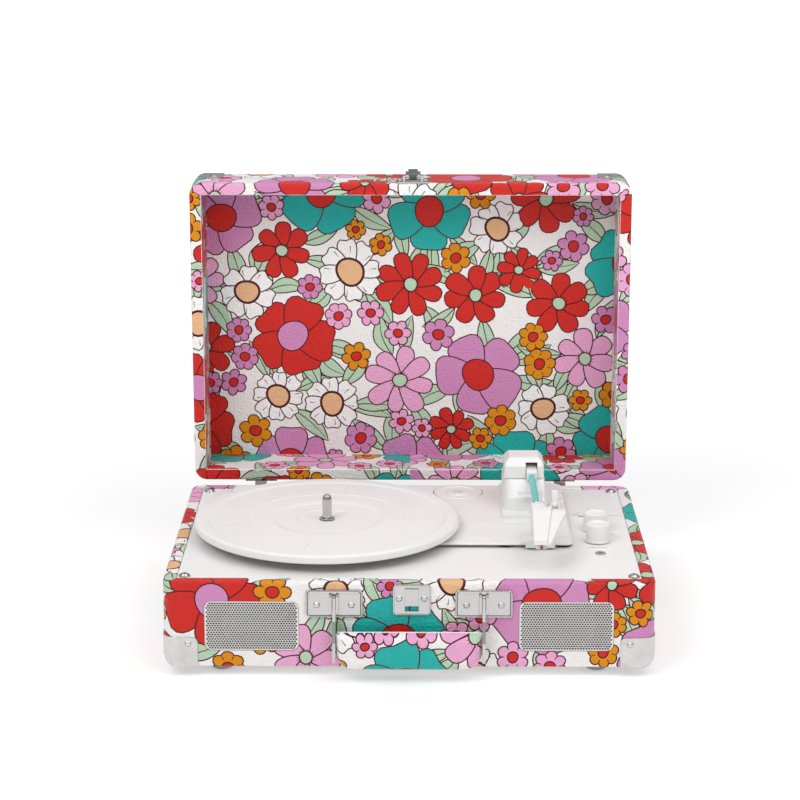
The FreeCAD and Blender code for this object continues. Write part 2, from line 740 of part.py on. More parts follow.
def platter():
    hub = "(platter_top - 3.1)"
    outline = [
        ("6", f"{hub} - 4.7"), ("12", f"{hub} - 4.7"), ("14", f"{hub} - 1.6"), ("37", f"{hub} - 1.6"),
        ("43", "platter_top - 3"), ("drive_ring_radius - 2", "platter_top - 3"),
        ("drive_ring_radius - 2", "platter_top - 7.6"), ("drive_ring_radius", "platter_top - 7.6"),
        ("drive_ring_radius", "platter_top - 3"), ("platter_radius - 5.3", "platter_top - 3"),
        ("platter_radius - 4.8", "platter_top - 6.4"), ("platter_radius - 0.8", "platter_top - 6.4"),
        ("platter_radius", "platter_top - 5.6"), ("platter_radius", "platter_top"),
        ("91.5", "platter_top"), ("89", "platter_top - 1.1"), ("60.2", "platter_top - 1.1"),
        ("59.6", "platter_top - 1.5"), ("43.5", "platter_top - 1.5"), ("38", "platter_top - 2.7"),
        ("23.4", "platter_top - 2.7"), ("22.8", hub), ("6", hub),
    ]
    dish = turned(outline, "platter_place_x", "platter_place_y")
    dish = round_body(dish, "2.2", circle_of(number("platter_radius"), number("platter_top")))
    pieces = [dish]
    face = "(platter_top - 1.4)"
    for degrees in range(20, 380, 60):
        rib = doc.addObject("Part::Box", name_for("rib"))
        for prop, size in (("Length", "rib_length"), ("Width", "0.7"), ("Height", "0.6")):
            rib.setExpression(prop, words(size))
        turn = FreeCAD.Rotation(FreeCAD.Vector(0, 0, 1), degrees)
        pieces.append(place(rib, *on_platter("rib_start", degrees), face, turn))
    pad = [("0", "0"), ("4.6", "0"), ("4.6", "0.45"), ("3.6", "0.7"), ("0", "0.7")]
    for degrees in range(45, 405, 120):
        pieces.append(turned(pad, *on_platter("pad_ring_radius", degrees), face))
    finish("platter", fuse(*pieces))
    bush = turned([
        ("spindle_radius + running_gap", "0"), ("8", "0"), ("8", "0.2"), ("6", "0.2"),
        ("6", "4.5"), ("spindle_radius + running_gap", "4.5"),
    ], "platter_place_x", "platter_place_y", f"{hub} - 4.9")
    finish("platter_bush", bush)


def drive():
    shaft_hole = "running_gap + motor_shaft_radius"
    can = turned([
        (shaft_hole, "-20"), ("motor_radius - 0.5", "-20"), ("motor_radius", "-19.5"),
        ("motor_radius", "-0.5"), ("motor_radius - 0.5", "0"), (shaft_hole, "0"),
    ], MOTOR_X, MOTOR_Y, DECK_BOTTOM)
    finish("drive_motor", can)
    pulley = turned([
        ("0", "-12"), ("motor_shaft_radius", "-12"), ("motor_shaft_radius", "3.2"),
        ("pulley_radius + 1", "3.2"), ("pulley_radius + 1", "3.9"),
        ("pulley_radius", "4.1"), ("pulley_radius", "7.7"), ("pulley_radius + 1", "7.9"),
        ("pulley_radius + 1", "8.4"), ("0", "8.4"),
    ], MOTOR_X, MOTOR_Y, DECK_BOTTOM)
    finish("motor_pulley", pulley)
    belt = doc.addObject("Part::Feature", "belt_loop")
    slack = number("running_gap")
    inner = (number("drive_ring_radius") + slack, number("pulley_radius") + slack)
    outer = tuple(radius + number("belt_sheet") for radius in inner)
    ring = belt_face(*outer).cut(belt_face(*inner))
    belt.Shape = ring.extrude(FreeCAD.Vector(0, 0, 3.4))
    turn = FreeCAD.Rotation(FreeCAD.Vector(0, 0, 1), 135)
    low = number(f"{DECK_BOTTOM} + 4.2")
    middle = FreeCAD.Vector(number("platter_place_x"), number("platter_place_y"), low)
    belt.Placement = FreeCAD.Placement(middle, turn)
    finish("drive_belt", belt)


def belt_face(ring_radius, pulley_radius):
    """The area inside an open belt round a ring at the origin and a pulley along +X."""
    distance = number("motor_distance")
    lean = math.acos((ring_radius - pulley_radius) / distance)
    direction = FreeCAD.Vector(math.cos(lean), math.sin(lean), 0)
    other = FreeCAD.Vector(math.cos(lean), -math.sin(lean), 0)
    pulley = FreeCAD.Vector(distance, 0, 0)
    tip = FreeCAD.Vector(distance + pulley_radius, 0, 0)
    far = FreeCAD.Vector(-ring_radius, 0, 0)
    edges = [
        Part.Arc(direction * ring_radius, far, other * ring_radius).toShape(),
        Part.LineSegment(other * ring_radius, pulley + other * pulley_radius).toShape(),
        Part.Arc(pulley + other * pulley_radius, tip, pulley + direction * pulley_radius).toShape(),
        Part.LineSegment(pulley + direction * pulley_radius, direction * ring_radius).toShape(),
    ]
    return Part.Face(Part.Wire(edges))


def adapter():
    outline = [
        ("spindle_radius + 0.15", "0"), ("adapter_radius - 0.5", "0"), ("adapter_radius", "0.5"),
        ("adapter_radius", "4.2"), ("adapter_radius - 0.7", "4.9"), ("15", "4.9"), ("14.4", "4.2"),
        ("9", "4.2"), ("8.4", "4.9"), ("spindle_radius + 0.15", "4.9"),
    ]
    finish("adapter_45", turned(outline, "adapter_place_x", "adapter_place_y", f"{DECK_BOTTOM} - 1.6"))


# ---------------------------------------------------------------- tone arm

def at_front_left(edge):
    """True for an edge of the tower on its left side, in front of its middle."""
    return all(end.X < 73.01 and end.Y < 60 for end in edge.Vertexes)


def tonearm_base():
    foot = slab([
        ("72", "17"), ("118", "17"), ("121", "20"), ("121", "100"), ("113", "108"),
        ("76", "108"), ("72", "104"),
    ], "XY_Plane", DECK_TOP, "3")
    tower = slab([
        ("28", f"{DECK_TOP} + 2"), ("30.5", f"{DECK_TOP} + 13"), ("46", "tower_top"),
        ("82", "tower_top"), ("86", f"{DECK_TOP} + 2"),
    ], "YZ_Plane", "73", "32.5")
    tower = round_body(tower, "tower_round", lambda edge: rising(edge) and at_front_left(edge))
    tower = round_body(tower, "2.5", lambda edge: rising(edge) and not at_front_left(edge))
    ears = [
        box(
            (x, f"{x} + 1.9"), ("cue_pivot_y - 4", "cue_pivot_y + 4"),
            (f"{DECK_TOP} + 2.5", f"{DECK_TOP} + 8"),
        )
        for x in ("108.8", "115.3")
    ]
    tools = [
        rod("arm_post_x", "arm_post_y", "tower_top - 12", "yaw_post_radius + running_gap", "20"),
        rod("105", "cue_pivot_y", CUE_PIVOT_Z, "cue_pivot_radius + running_gap", "20", ALONG_X),
        rod("lift_rod_x", "lift_rod_y", f"{DECK_TOP} - 3", "lift_rod_radius + running_gap", "10"),
        box(("114.4", "118.6"), ("59", "79"), (f"{DECK_TOP} + 1", f"{DECK_TOP} + 5")),
    ]
    finish("tonearm_base", cut(fuse(foot, tower, *ears), *tools))
    lever = fuse(
        rod("110.8", "cue_pivot_y", CUE_PIVOT_Z, "2.4", "4.4", ALONG_X),
        rod("109", "cue_pivot_y", CUE_PIVOT_Z, "cue_pivot_radius", "8", ALONG_X),
        slab([
            ("cue_pivot_y - 1.6", CUE_PIVOT_Z), ("cue_pivot_y + 1.6", CUE_PIVOT_Z),
            ("cue_pivot_y + 4.4", f"{CUE_PIVOT_Z} + 10.2"), ("cue_pivot_y + 3", f"{CUE_PIVOT_Z} + 11"),
            ("cue_pivot_y + 1.2", f"{CUE_PIVOT_Z} + 10.2"),
        ], "YZ_Plane", "110.8", "4.4"),
    )
    finish("cue_lever", lever)
    lift = fuse(
        rod(
            "lift_rod_x", "lift_rod_y", f"{DECK_BOTTOM} - 1", "lift_rod_radius",
            f"arm_height - 6.5 - ({DECK_BOTTOM} - 1)",
        ),
        box(("84", "103"), ("lift_rod_y - 2", "lift_rod_y + 2"), ("arm_height - 8", "arm_height - 6")),
    )
    finish("lift_bar", lift)
    stem = box(("114.8", "118.2"), ("60", "66"), (f"{DECK_TOP} + 1.3", f"{DECK_TOP} + 4"))
    cap = box(("114", "119"), ("60.5", "65.5"), (f"{DECK_TOP} + 3.4", f"{DECK_TOP} + 6.4"))
    finish("speed_slider", fuse(stem, soften(cap, "0.8", upright)))


def arm_rest():
    foot = slab([
        ("86", "-45.5"), ("110", "-45.5"), ("112", "-42"), ("110", "-24"), ("88", "-24"), ("84", "-42"),
    ], "XY_Plane", f"({DECK_TOP} - deck_step)", "3")
    foot = round_body(foot, "1.5", upright)
    lip = box(
        ("87", "109"), ("deck_front - 4.4", "deck_front - 0.4"), (f"{DECK_TOP} - 3.4", f"{DECK_TOP} + 1"),
    )
    post = box(
        ("91", "100.8"), ("rest_place_y - 4", "rest_place_y + 5"),
        (f"{DECK_TOP} + 1", "arm_height - 4.5"),
    )
    post = soften(post, "2", upright)
    saddle = slab([
        ("arm_line - 5.9", "arm_height - 4.9"), ("arm_line - 3.8", "arm_height - 7.5"),
        ("arm_line + 4.2", "arm_height - 7.5"), ("arm_line + 7.3", "arm_height - 4"),
        ("arm_line + 7.5", "arm_height + 2.5"), ("arm_line + 5.9", "arm_height + 4.6"),
        ("arm_line + 4.1", "arm_height + 4.2"), ("arm_line + 3.4", "arm_height - 1.2"),
        ("arm_line + 2.1", "arm_height - 2.9"), ("arm_line - 4.9", "arm_height - 2.9"),
    ], "XZ_Plane", "-rest_place_y - 3.2", "6.4")
    finish("arm_rest", fuse(foot, lip, post, saddle))


def arm():
    housing = slab([
        ("49", "tower_top + 0.4"), ("49", "housing_top - 6"), ("54", "housing_top"), ("75", "housing_top"),
        ("80", "housing_top - 5"), ("80", "tower_top + 0.4"),
    ], "YZ_Plane", "74", "31")
    shoulders = slab([
        ("74", "tower_top + 0.4"), ("105", "tower_top + 0.4"), ("105", "housing_top - 5"),
        ("101", "housing_top"), ("78", "housing_top"), ("74", "housing_top - 5"),
    ], "XZ_Plane", "-90", "60")
    housing = common(round_body(housing, "3", rising), shoulders)
    slot = box(("arm_line - 4.6", "arm_line + 4.6"), ("48", "73"), ("tower_top", "arm_height + 9.6"))
    pin = ("80", "arm_post_y + 1", ARM_PITCH_Z, "pitch_pin_radius", "24", ALONG_X)
    yaw_post = rod("arm_post_x", "arm_post_y", "tower_top - 11", "yaw_post_radius", "11.8")
    finish("arm_housing", fuse(cut(housing, slot, rod(*pin)), yaw_post))
    finish("pitch_pin", rod(*pin))
    block = slab([
        ("43", "arm_height - 2.4"), ("60", "tower_top + 2.2"), ("70", "tower_top + 2.2"),
        ("70", "arm_height + 4.5"), ("60", "arm_height + 5.5"), ("47", "arm_height + 4.6"),
        ("43", "arm_height + 3.4"),
    ], "YZ_Plane", "arm_line - 4.1", "8.2")
    block_tools = [
        rod("80", "arm_post_y + 1", ARM_PITCH_Z, "pitch_pin_radius + running_gap", "30", ALONG_X),
        rod("arm_line", "40", "arm_height", "arm_tube_radius", "20", ALONG_Y),
    ]
    finish("arm_block", cut(block, *block_tools))
    finish("arm_tube", rod(
        "arm_line", "arm_tube_front", "arm_height", "arm_tube_radius", "arm_tube_length", ALONG_Y,
    ))


def headshell():
    side = slab([
        ("-37", "arm_height - 3.6"), ("-37", "arm_height + 3.4"), ("-52", "arm_height + 3.2"),
        ("-101.5", "arm_height - 5.6"), ("-101.5", "arm_height - 9"), ("-60", "arm_height - 4.2"),
    ], "YZ_Plane", "80", "40")
    plan = slab([
        ("91.2", "-37"), ("100", "-37"), ("101.4", "-47"), ("105", "-44.5"), ("115.4", "-46"),
        ("116.4", "-50"), ("102.6", "-101.5"), ("90.2", "-101.5"), ("91.4", "-60"),
    ], "XY_Plane", "85", "30")
    # the wing along the right side stands lower than the middle
    above_wing = slab([
        ("106.6", "-40"), ("130", "-40"), ("130", "-104"), ("99.4", "-104"),
    ], "XY_Plane", "85", "30")
    side_above_wing = slab([
        ("-37", "arm_height + 1"), ("-52", "arm_height + 1.2"), ("-104", "arm_height - 7.6"),
        ("-104", "arm_height + 10"), ("-37", "arm_height + 10"),
    ], "YZ_Plane", "80", "50")
    tube_hole = rod("arm_line", "arm_tube_front", "arm_height", "arm_tube_radius", "20", ALONG_Y)
    collar = rod("arm_line", "-40", "arm_height", "collar_radius", "3", ALONG_Y)
    shell = cut(common(side, plan), common(above_wing, side_above_wing))
    finish("headshell", cut(fuse(shell, collar), tube_hole))
    block = slab([
        ("-98", "88.9"), ("-96", "95"), ("-70", "98.6"), ("-70", "90"), ("-74", "88.9"),
    ], "YZ_Plane", "91.9", "8")
    finish("cartridge", cut(block, parts["headshell"]))
    holder = slab([
        ("-99.4", "92.2"), ("-98.3", "92.2"), ("-98.3", "88.7"), ("-84", "88.7"), ("-84", "87.9"),
        ("-97.4", "87.9"), ("-99.4", "89.6"),
    ], "YZ_Plane", "95.0", "1.8")
    needle = turned([("0", "0"), ("0.35", "0.9"), ("0.35", "1.3"), ("0", "1.3")], "95.9", "-94", "86.9")
    finish("stylus", fuse(holder, needle))


# ---------------------------------------------------------------- controls and electronics

def knob(node, y):
    body = turned([
        ("0", "-8"), ("knob_shaft_radius", "-8"), ("knob_shaft_radius", "0.7"),
        ("knob_radius + 0.5", "0.7"), ("knob_radius + 0.5", "1.6"), ("knob_radius + 0.1", "2.2"),
        ("knob_radius - 0.2", "knob_height"), ("knob_radius - 1.8", "knob_height"),
        ("knob_radius - 2.6", "knob_height - 0.8"), ("0", "knob_height - 1.1"),
    ], "knob_place_x", y, PLATE_TOP)
    body = round_body(body, "0.7", circle_of(number("knob_radius - 0.2"), number("knob_height")))
    finish(node, body)


def control_body(node, y, half, drop):
    """A pot or switch under the plate with the bush that the knob's shaft turns in."""
    case = box(
        (f"knob_place_x - {half}", f"knob_place_x + {half}"), (f"{y} - {half}", f"{y} + {half}"),
        (f"{PLATE_BOTTOM} - {drop}", PLATE_BOTTOM),
    )
    bush = rod("knob_place_x", y, f"{PLATE_BOTTOM} - 1", "control_bush_radius", "plate_sheet + 1")
    bore = rod("knob_place_x", y, f"{PLATE_BOTTOM} - 6", "knob_shaft_radius + running_gap", "20")
    finish(node, cut(fuse(case, bush), bore))


def controls():
    knob("volume_knob", "volume_place_y")
    knob("function_knob", "function_place_y")
    control_body("volume_pot", "volume_place_y", "8", "9")
    control_body("function_switch", "function_place_y", "9", "12")
    stem = box(
        ("slider_place_x - 1.3", "slider_place_x + 1.3"), ("slider_place_y - 4", "slider_place_y"),
        (f"{PLATE_BOTTOM} - 2", f"{PLATE_TOP} + 1"),
    )
    cap = box(
        ("slider_place_x - 2.4", "slider_place_x + 2.4"), ("slider_place_y - 4.6", "slider_place_y + 0.6"),
        (f"{PLATE_TOP} + 0.3", f"{PLATE_TOP} + 3.6"),
    )
    finish("autostop_slider", fuse(stem, soften(cap, "0.8", upright)))
    barrel = turned([
        ("jack_radius", "-12"), ("3.1", "-12"), ("3.1", "0"), ("4.2", "0"), ("3.9", "0.7"),
        ("jack_radius", "0.7"),
    ], "knob_place_x", "jack_place_y", PLATE_TOP)
    finish("headphone_jack", barrel)
    board = box(("-30", "50"), ("-40", "20"), (f"{FLOOR_TOP} + 5", f"{FLOOR_TOP} + 6.6"))
    chips = [
        box((x, f"{x} + 12"), (y, f"{y} + 8"), (f"{FLOOR_TOP} + 6.6", f"{FLOOR_TOP} + 9.6"))
        for x, y in (("-20", "-30"), ("5", "-24"), ("28", "2"))
    ]
    posts = [
        rod(x, y, FLOOR_TOP, "3", "5")
        for x in ("-26", "46") for y in ("-36", "16")
    ]
    capacitors = [rod(x, "8", f"{FLOOR_TOP} + 6.6", "4", "11") for x in ("-14", "-2", "10")]
    finish("amplifier_board", fuse(board, *chips, *capacitors))
    finish("board_spacers", group(*posts))


def rear_sockets():
    z = "grille_middle"
    panel = box(
        ("rear_panel_place - rear_panel_width / 2", "rear_panel_place + rear_panel_width / 2"),
        (f"{BACK} - 3", f"{BACK} - 0.4"),
        (f"{z} - rear_panel_height / 2", f"{z} + rear_panel_height / 2"),
    )
    rca_places = ("rear_panel_place - 20", "rear_panel_place - 4")
    inlet_place = "rear_panel_place + 18"
    holes = [rod(x, f"{BACK} - 5", z, "socket_radius - 0.2", "8", ALONG_Y) for x in rca_places]
    holes.append(rod(inlet_place, f"{BACK} - 5", z, "inlet_body_radius", "8", ALONG_Y))
    finish("rear_panel", cut(panel, *holes))
    sockets = [
        turned([
            ("0", "-9"), ("socket_radius - 0.2", "-9"), ("socket_radius - 0.2", "-0.4"),
            ("socket_radius", "-0.4"), ("socket_radius", "9"), ("3.4", "9"), ("3.4", "1"),
            ("1.9", "1"), ("1.9", "7"), ("0", "7"),
        ], x, BACK, z, ALONG_Y)
        for x in rca_places
    ]
    finish("rca_sockets", group(*sockets))
    inlet = turned([
        ("0", "-13"), ("inlet_body_radius", "-13"), ("inlet_body_radius", "0"), ("inlet_radius", "0"),
        ("inlet_radius", "-9.5"), ("inlet_pin_radius", "-9.5"), ("inlet_pin_radius", "-1"), ("0", "-0.6"),
    ], inlet_place, f"{BACK} - 0.4", z, ALONG_Y)
    finish("dc_inlet", inlet)


def speakers():
    frames, cones = [], []
    for side, node in zip(SIDES, ("grille_left", "grille_right")):
        middle = f"{side} * grille_place"
        finish(node, rounded_plate(
            middle, "grille_middle", "grille_width", "grille_height", "5",
            f"{FRONT} + 0.2", "grille_sheet",
        ))
        at = (middle, f"{FRONT} + wall", "grille_middle", ALONG_Y)
        frames.append(turned([
            ("speaker_radius - 3", "0"), ("speaker_radius", "0"), ("speaker_radius", "2"), ("15", "12"),
            ("15", "24"), ("0", "24"), ("0", "10.6"), ("12", "10.6"), ("speaker_radius - 3", "2"),
        ], *at))
        cones.append(turned([
            ("speaker_radius - 3", "0.4"), ("speaker_radius - 3", "1"), ("8", "8"), ("0", "8"),
            ("0", "5.4"), ("7", "7.2"), ("19", "1.2"),
        ], *at))
    finish("speaker_frames", group(*frames))
    finish("speaker_cones", group(*cones))


# ---------------------------------------------------------------- handle and latch

def outer_cross_edge(edge):
    """True for an edge along X on the outer face of a bracket's cheek."""
    return not along_depth(edge) and not upright(edge) and edge.Vertexes[0].Y < number(FRONT) - 5


def handle():
    brackets, straps = [], []
    for side in SIDES:
        middle = f"{side} * bracket_place"
        face = f"({FRONT} - bracket_sheet)"
        plate = rounded_plate(
            middle, "bracket_middle", "bracket_width", "bracket_height", "2.5", face, "bracket_sheet",
        )
        half_x, half_z = "bracket_width / 2", "bracket_height / 2"
        top_ridge = box(
            (f"{middle} - {half_x} + 2.5", f"{middle} + {half_x} - 2.5"), (f"{face} - 1", f"{face} + 0.5"),
            (f"bracket_middle + {half_z} - 2.6", f"bracket_middle + {half_z} - 0.6"),
        )
        cheeks = [
            soften(box(
                (f"{middle} + {low}", f"{middle} + {high}"), (f"{FRONT} - 6", f"{face} + 0.5"),
                ("bracket_middle - 7", "bracket_middle + 7.8"),
            ), "1.5", outer_cross_edge)
            for low, high in (("(-3.4)", "(-1.5)"), ("1.5", "3.4"))
        ]
        tools = rivet_holes(bracket_rivet_places())
        tools.append(rod(f"{middle} - 3.5", HANDLE_Y, "handle_pivot_up", "1 + running_gap", "7", ALONG_X))
        brackets.append(cut(fuse(plate, top_ridge, *cheeks), *tools))
        eye = rod(f"{middle} - 1.1", HANDLE_Y, "handle_pivot_up", "1.9", "2.2", ALONG_X)
        trunnion = rod(f"{middle} - 3.3", HANDLE_Y, "handle_pivot_up", "1", "6.6", ALONG_X)
        strap = slab([
            (f"{HANDLE_Y} - 1.9", "handle_pivot_up"), (f"{HANDLE_Y} - 3.6", "44"),
            (f"{HANDLE_Y} - 10", "30"), (f"{HANDLE_Y} - 10", "15"), (f"{HANDLE_Y} - 2.8", "15"),
            (f"{HANDLE_Y} - 2.2", "32"), (f"{HANDLE_Y} + 1.9", "44"),
            (f"{HANDLE_Y} + 1.9", "handle_pivot_up"),
        ], "YZ_Plane", f"{middle} - 1.1", "2.2")
        straps.append(fuse(eye, trunnion, strap))
    finish("handle_brackets", group(*brackets))
    finish("handle_straps", group(*straps))
    half = "grip_length / 2"
    grip = slab([
        (f"-{half}", "grip_bottom + 14"), (f"-{half} + 12", "grip_bottom"),
        (f"{half} - 12", "grip_bottom"), (half, "grip_bottom + 14"),
        (half, "grip_bottom + grip_height"), (f"-{half}", "grip_bottom + grip_height"),
    ], "XZ_Plane", f"-({FRONT} - 1)", "grip_thickness")
    finish("handle_grip", round_body(grip, "5", lambda e: not along_depth(e) and e.Length > 15))


def latch_strike():
    face = f"({FRONT} - strike_sheet)"
    plate = rounded_plate(
        "latch_place", "strike_middle", "strike_width", "strike_height", "2.5", face, "strike_sheet",
    )
    tongue = box(
        ("latch_place - 5", "latch_place + 5"), (f"{face} - 1.2", f"{face} + 0.4"),
        ("strike_middle - 4.5", "strike_middle + 8.5"),
    )
    window = box(
        ("latch_place - 5", "latch_place + 5"), (f"{face} - 3", f"{FRONT} + 1"),
        ("strike_middle - 8.6", "strike_middle - 4.5"),
    )
    finish("latch_strike", cut(fuse(plate, tongue), window, *rivet_holes(strike_rivet_places())))


def latch_plate():
    sheet = box(
        ("latch_place - 13", "latch_place + 13"), (f"{LID_RIM} + 0.8", f"{LID_RIM} + 17"),
        (LID_HIGH, f"{LID_HIGH} + strike_sheet"),
    )
    ears = [
        box(
            (f"latch_place + {low}", f"latch_place + {high}"), (f"{HASP_Y} - 3", f"{HASP_Y} + 3"),
            (f"{LID_HIGH} + strike_sheet - 0.4", f"{HASP_Z} + 2"),
        )
        for low, high in (("(-8)", "(-6.4)"), ("6.4", "8"))
    ]
    pin_hole = rod("latch_place - 9", HASP_Y, HASP_Z, "hasp_pin_radius", "18", ALONG_X)
    tools = [pin_hole, *lid_rivet_holes(latch_rivet_places())]
    finish("latch_plate", cut(fuse(soften(sheet, "2", upright), *ears), *tools))
    finish("latch_pin", rod("latch_place - 8.4", HASP_Y, HASP_Z, "hasp_pin_radius", "16.8", ALONG_X))


def latch_spring():
    """A ribbed sleeve on the pin that stands in for the coils."""
    root = "spring_radius - 0.5"
    bore = "hasp_pin_radius + 0.15"
    outline = []
    for coil in range(int(number("spring_coils"))):
        start = f"{coil} * spring_pitch"
        outline += [
            (root, start), ("spring_radius", f"{start} + 0.3"), ("spring_radius", f"{start} + 0.8"),
            (root, f"{start} + 1.1"),
        ]
    length = "spring_coils * spring_pitch"
    outline += [(root, length), (bore, length), (bore, "0")]
    finish("latch_spring", turned(outline, "latch_place - 3", HASP_Y, HASP_Z, ALONG_X))


def latch_hasp():
    arm_end = f"{HASP_Y} + hasp_length"
    half_sheet = "0.8"
    z_range = (f"{HASP_Z} - {half_sheet}", f"{HASP_Z} + {half_sheet}")
    pieces = [
        box(("latch_place - 6.1", "latch_place + 6.1"), (f"{HASP_Y} + 2.6", arm_end), z_range),
        box(
            ("latch_place - 4", "latch_place + 4"), (f"{arm_end} - 1.5", arm_end),
            (HASP_Z, f"{HASP_Z} + 2.6"),
        ),
    ]
    for start in ("latch_place - 6.1", "latch_place + 3.4"):
        pieces.append(rod(start, HASP_Y, HASP_Z, "2", "2.7", ALONG_X))
        pieces.append(box((start, f"{start} + 2.7"), (HASP_Y, f"{HASP_Y} + 3"), z_range))
    bore = rod("latch_place - 9", HASP_Y, HASP_Z, "hasp_pin_radius + running_gap", "18", ALONG_X)
    finish("latch_hasp", cut(fuse(*pieces), bore))


def build():
    case_shell()
    corner_blocks()
    feet()
    case_corner_caps()
    lid_shell()
    lid_corner_caps()
    rivets()
    hinges()
    top_plate()
    plate_fasteners()
    deck()
    deck_mounts()
    spindle_set()
    platter()
    drive()
    adapter()
    tonearm_base()
    arm_rest()
    arm()
    headshell()
    controls()
    rear_sockets()
    speakers()
    handle()
    latch_strike()
    latch_plate()
    latch_spring()
    latch_hasp()


def check_and_write():
    """Stop on a failed object or a bad shape, then write one STEP file for each piece."""
    doc.recompute()
    failed = [o.Label for o in doc.Objects if "Invalid" in o.State or "Error" in o.State]
    bad = [node for node, piece in parts.items() if piece.Shape.isNull() or not piece.Shape.isValid()]
    if failed or bad:
        raise RuntimeError(f"failed objects {failed}, bad shapes {bad}")
    os.makedirs("parts", exist_ok=True)
    for node, piece in parts.items():
        piece.Shape.exportStep(f"parts/{node}.step")
        print(f"{node}: {len(piece.Shape.Solids)} solids, {piece.Shape.Volume / 1000:.2f} cm3")
    print(len(parts), "pieces")


build()
check_and_write()
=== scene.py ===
import json
import math
import random

import bpy
import numpy as np
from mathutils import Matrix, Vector
from mathutils.geometry import delaunay_2d_cdt


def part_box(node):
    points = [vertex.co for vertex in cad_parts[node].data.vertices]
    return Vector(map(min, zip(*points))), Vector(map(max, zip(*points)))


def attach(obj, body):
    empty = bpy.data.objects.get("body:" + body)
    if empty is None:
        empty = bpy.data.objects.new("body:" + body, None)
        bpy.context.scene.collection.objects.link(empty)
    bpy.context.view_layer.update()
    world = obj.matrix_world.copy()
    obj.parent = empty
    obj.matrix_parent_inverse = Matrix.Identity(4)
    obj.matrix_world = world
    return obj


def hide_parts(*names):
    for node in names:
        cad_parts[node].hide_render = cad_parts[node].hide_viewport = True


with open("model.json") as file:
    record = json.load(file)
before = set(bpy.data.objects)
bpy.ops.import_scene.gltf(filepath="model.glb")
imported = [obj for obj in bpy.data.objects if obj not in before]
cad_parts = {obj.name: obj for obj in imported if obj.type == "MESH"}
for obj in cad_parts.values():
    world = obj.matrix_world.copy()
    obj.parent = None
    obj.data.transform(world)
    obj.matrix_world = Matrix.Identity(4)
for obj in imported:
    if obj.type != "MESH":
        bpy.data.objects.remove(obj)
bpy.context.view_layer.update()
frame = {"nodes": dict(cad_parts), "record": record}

# Blender works in metres. The flat printed sheets are laid out in millimetres.
MM = 0.001
SEED = 41
CUT_TOLERANCE = 0.002
HOLE = "hole"


def around(half_x, half_y):
    """The corners of a rectangle round the origin, counter-clockwise."""
    return [(-half_x, -half_y), (half_x, -half_y), (half_x, half_y), (-half_x, half_y)]


# ---------------------------------------------------------------- camera, light and floor


def make_camera():
    data = bpy.data.cameras.new("camera")
    data.lens = 107.43
    data.sensor_width = 36
    data.dof.use_dof = False
    camera = bpy.data.objects.new("camera", data)
    camera.location = (0.0054, -1.7478, 0.6232)
    camera.rotation_euler = (math.radians(75.62), 0, math.radians(0.418))
    bpy.context.scene.collection.objects.link(camera)
    bpy.context.scene.camera = camera


def area_light(name, place, target, size, watts):
    data = bpy.data.lights.new(name, "AREA")
    data.shape = "RECTANGLE"
    data.size, data.size_y = size
    data.energy = watts
    lamp = bpy.data.objects.new(name, data)
    lamp.location = place
    lamp.rotation_euler = (Vector(target) - Vector(place)).to_track_quat("-Z", "Y").to_euler()
    bpy.context.scene.collection.objects.link(lamp)


def make_studio():
    world = bpy.data.worlds.new("studio")
    bpy.context.scene.world = world
    world.use_nodes = True
    background = world.node_tree.nodes["Background"]
    background.inputs["Strength"].default_value = 0.58
    # a dim band near the horizon gives bright metal something dark to mirror
    nodes = world.node_tree.nodes
    direction = nodes.new("ShaderNodeSeparateXYZ")
    link(world, nodes.new("ShaderNodeTexCoord").outputs["Generated"], direction.inputs["Vector"])
    dome = tinted(world, scaled(world, direction.outputs["Z"], 0, 1, 0.1, 0.5), (0.3,) * 3, (1, 1, 1))
    link(world, dome, background.inputs["Color"])
    middle = (0, 0, 0.12)
    area_light("key", (-0.95, -1.15, 1.6), middle, (0.9, 0.9), 13.5)
    area_light("fill", (0.5, -0.45, 1.0), (0, 0.19, 0.22), (0.9, 0.9), 5)
    area_light("top", (-0.35, 0.6, 1.6), middle, (1.6, 1.0), 4.6)
    bpy.context.scene.view_settings.view_transform = "Standard"


def make_floor():
    reach = 12
    mesh = bpy.data.meshes.new("floor")
    corners = [(x, y, 0) for x, y in around(reach, reach)]
    mesh.from_pydata(corners, [], [(0, 1, 2, 3)])
    floor = bpy.data.objects.new("floor", mesh)
    bpy.context.scene.collection.objects.link(floor)
    made, shader = material("studio_floor", (0.72, 0.72, 0.72), 0.6)
    link(made, scaled(made, noise(made, 9), 0.55, 0.65), shader.inputs["Roughness"])
    # the sweep glows a little, and more beyond the reach of the lamps, so that it stays white
    away = made.node_tree.nodes.new("ShaderNodeVectorMath")
    away.operation = "LENGTH"
    link(made, object_place(made), away.inputs[0])
    shader.inputs["Emission Color"].default_value = (1, 1, 1, 1)
    near, far, glow, far_glow = 0.4, 2.6, 0.35, 0.85
    strength = scaled(made, away.outputs["Value"], glow, far_glow, near, far)
    link(made, strength, shader.inputs["Emission Strength"])
    mesh.materials.append(made)


# ---------------------------------------------------------------- material nodes


def linear(red, green, blue):
    """A colour given as 8-bit sRGB, as the shader wants it."""
    def one(value):
        value = value / 255
        return value / 12.92 if value <= 0.04045 else ((value + 0.055) / 1.055) ** 2.4
    return (one(red), one(green), one(blue))


def material(name, colour, roughness, metallic=0.0):
    made = bpy.data.materials.new(name)
    made.use_nodes = True
    shader = made.node_tree.nodes["Principled BSDF"]
    shader.inputs["Base Color"].default_value = (*colour, 1)
    shader.inputs["Roughness"].default_value = roughness
    shader.inputs["Metallic"].default_value = metallic
    return made, shader


def link(made, output, socket):
    made.node_tree.links.new(output, socket)


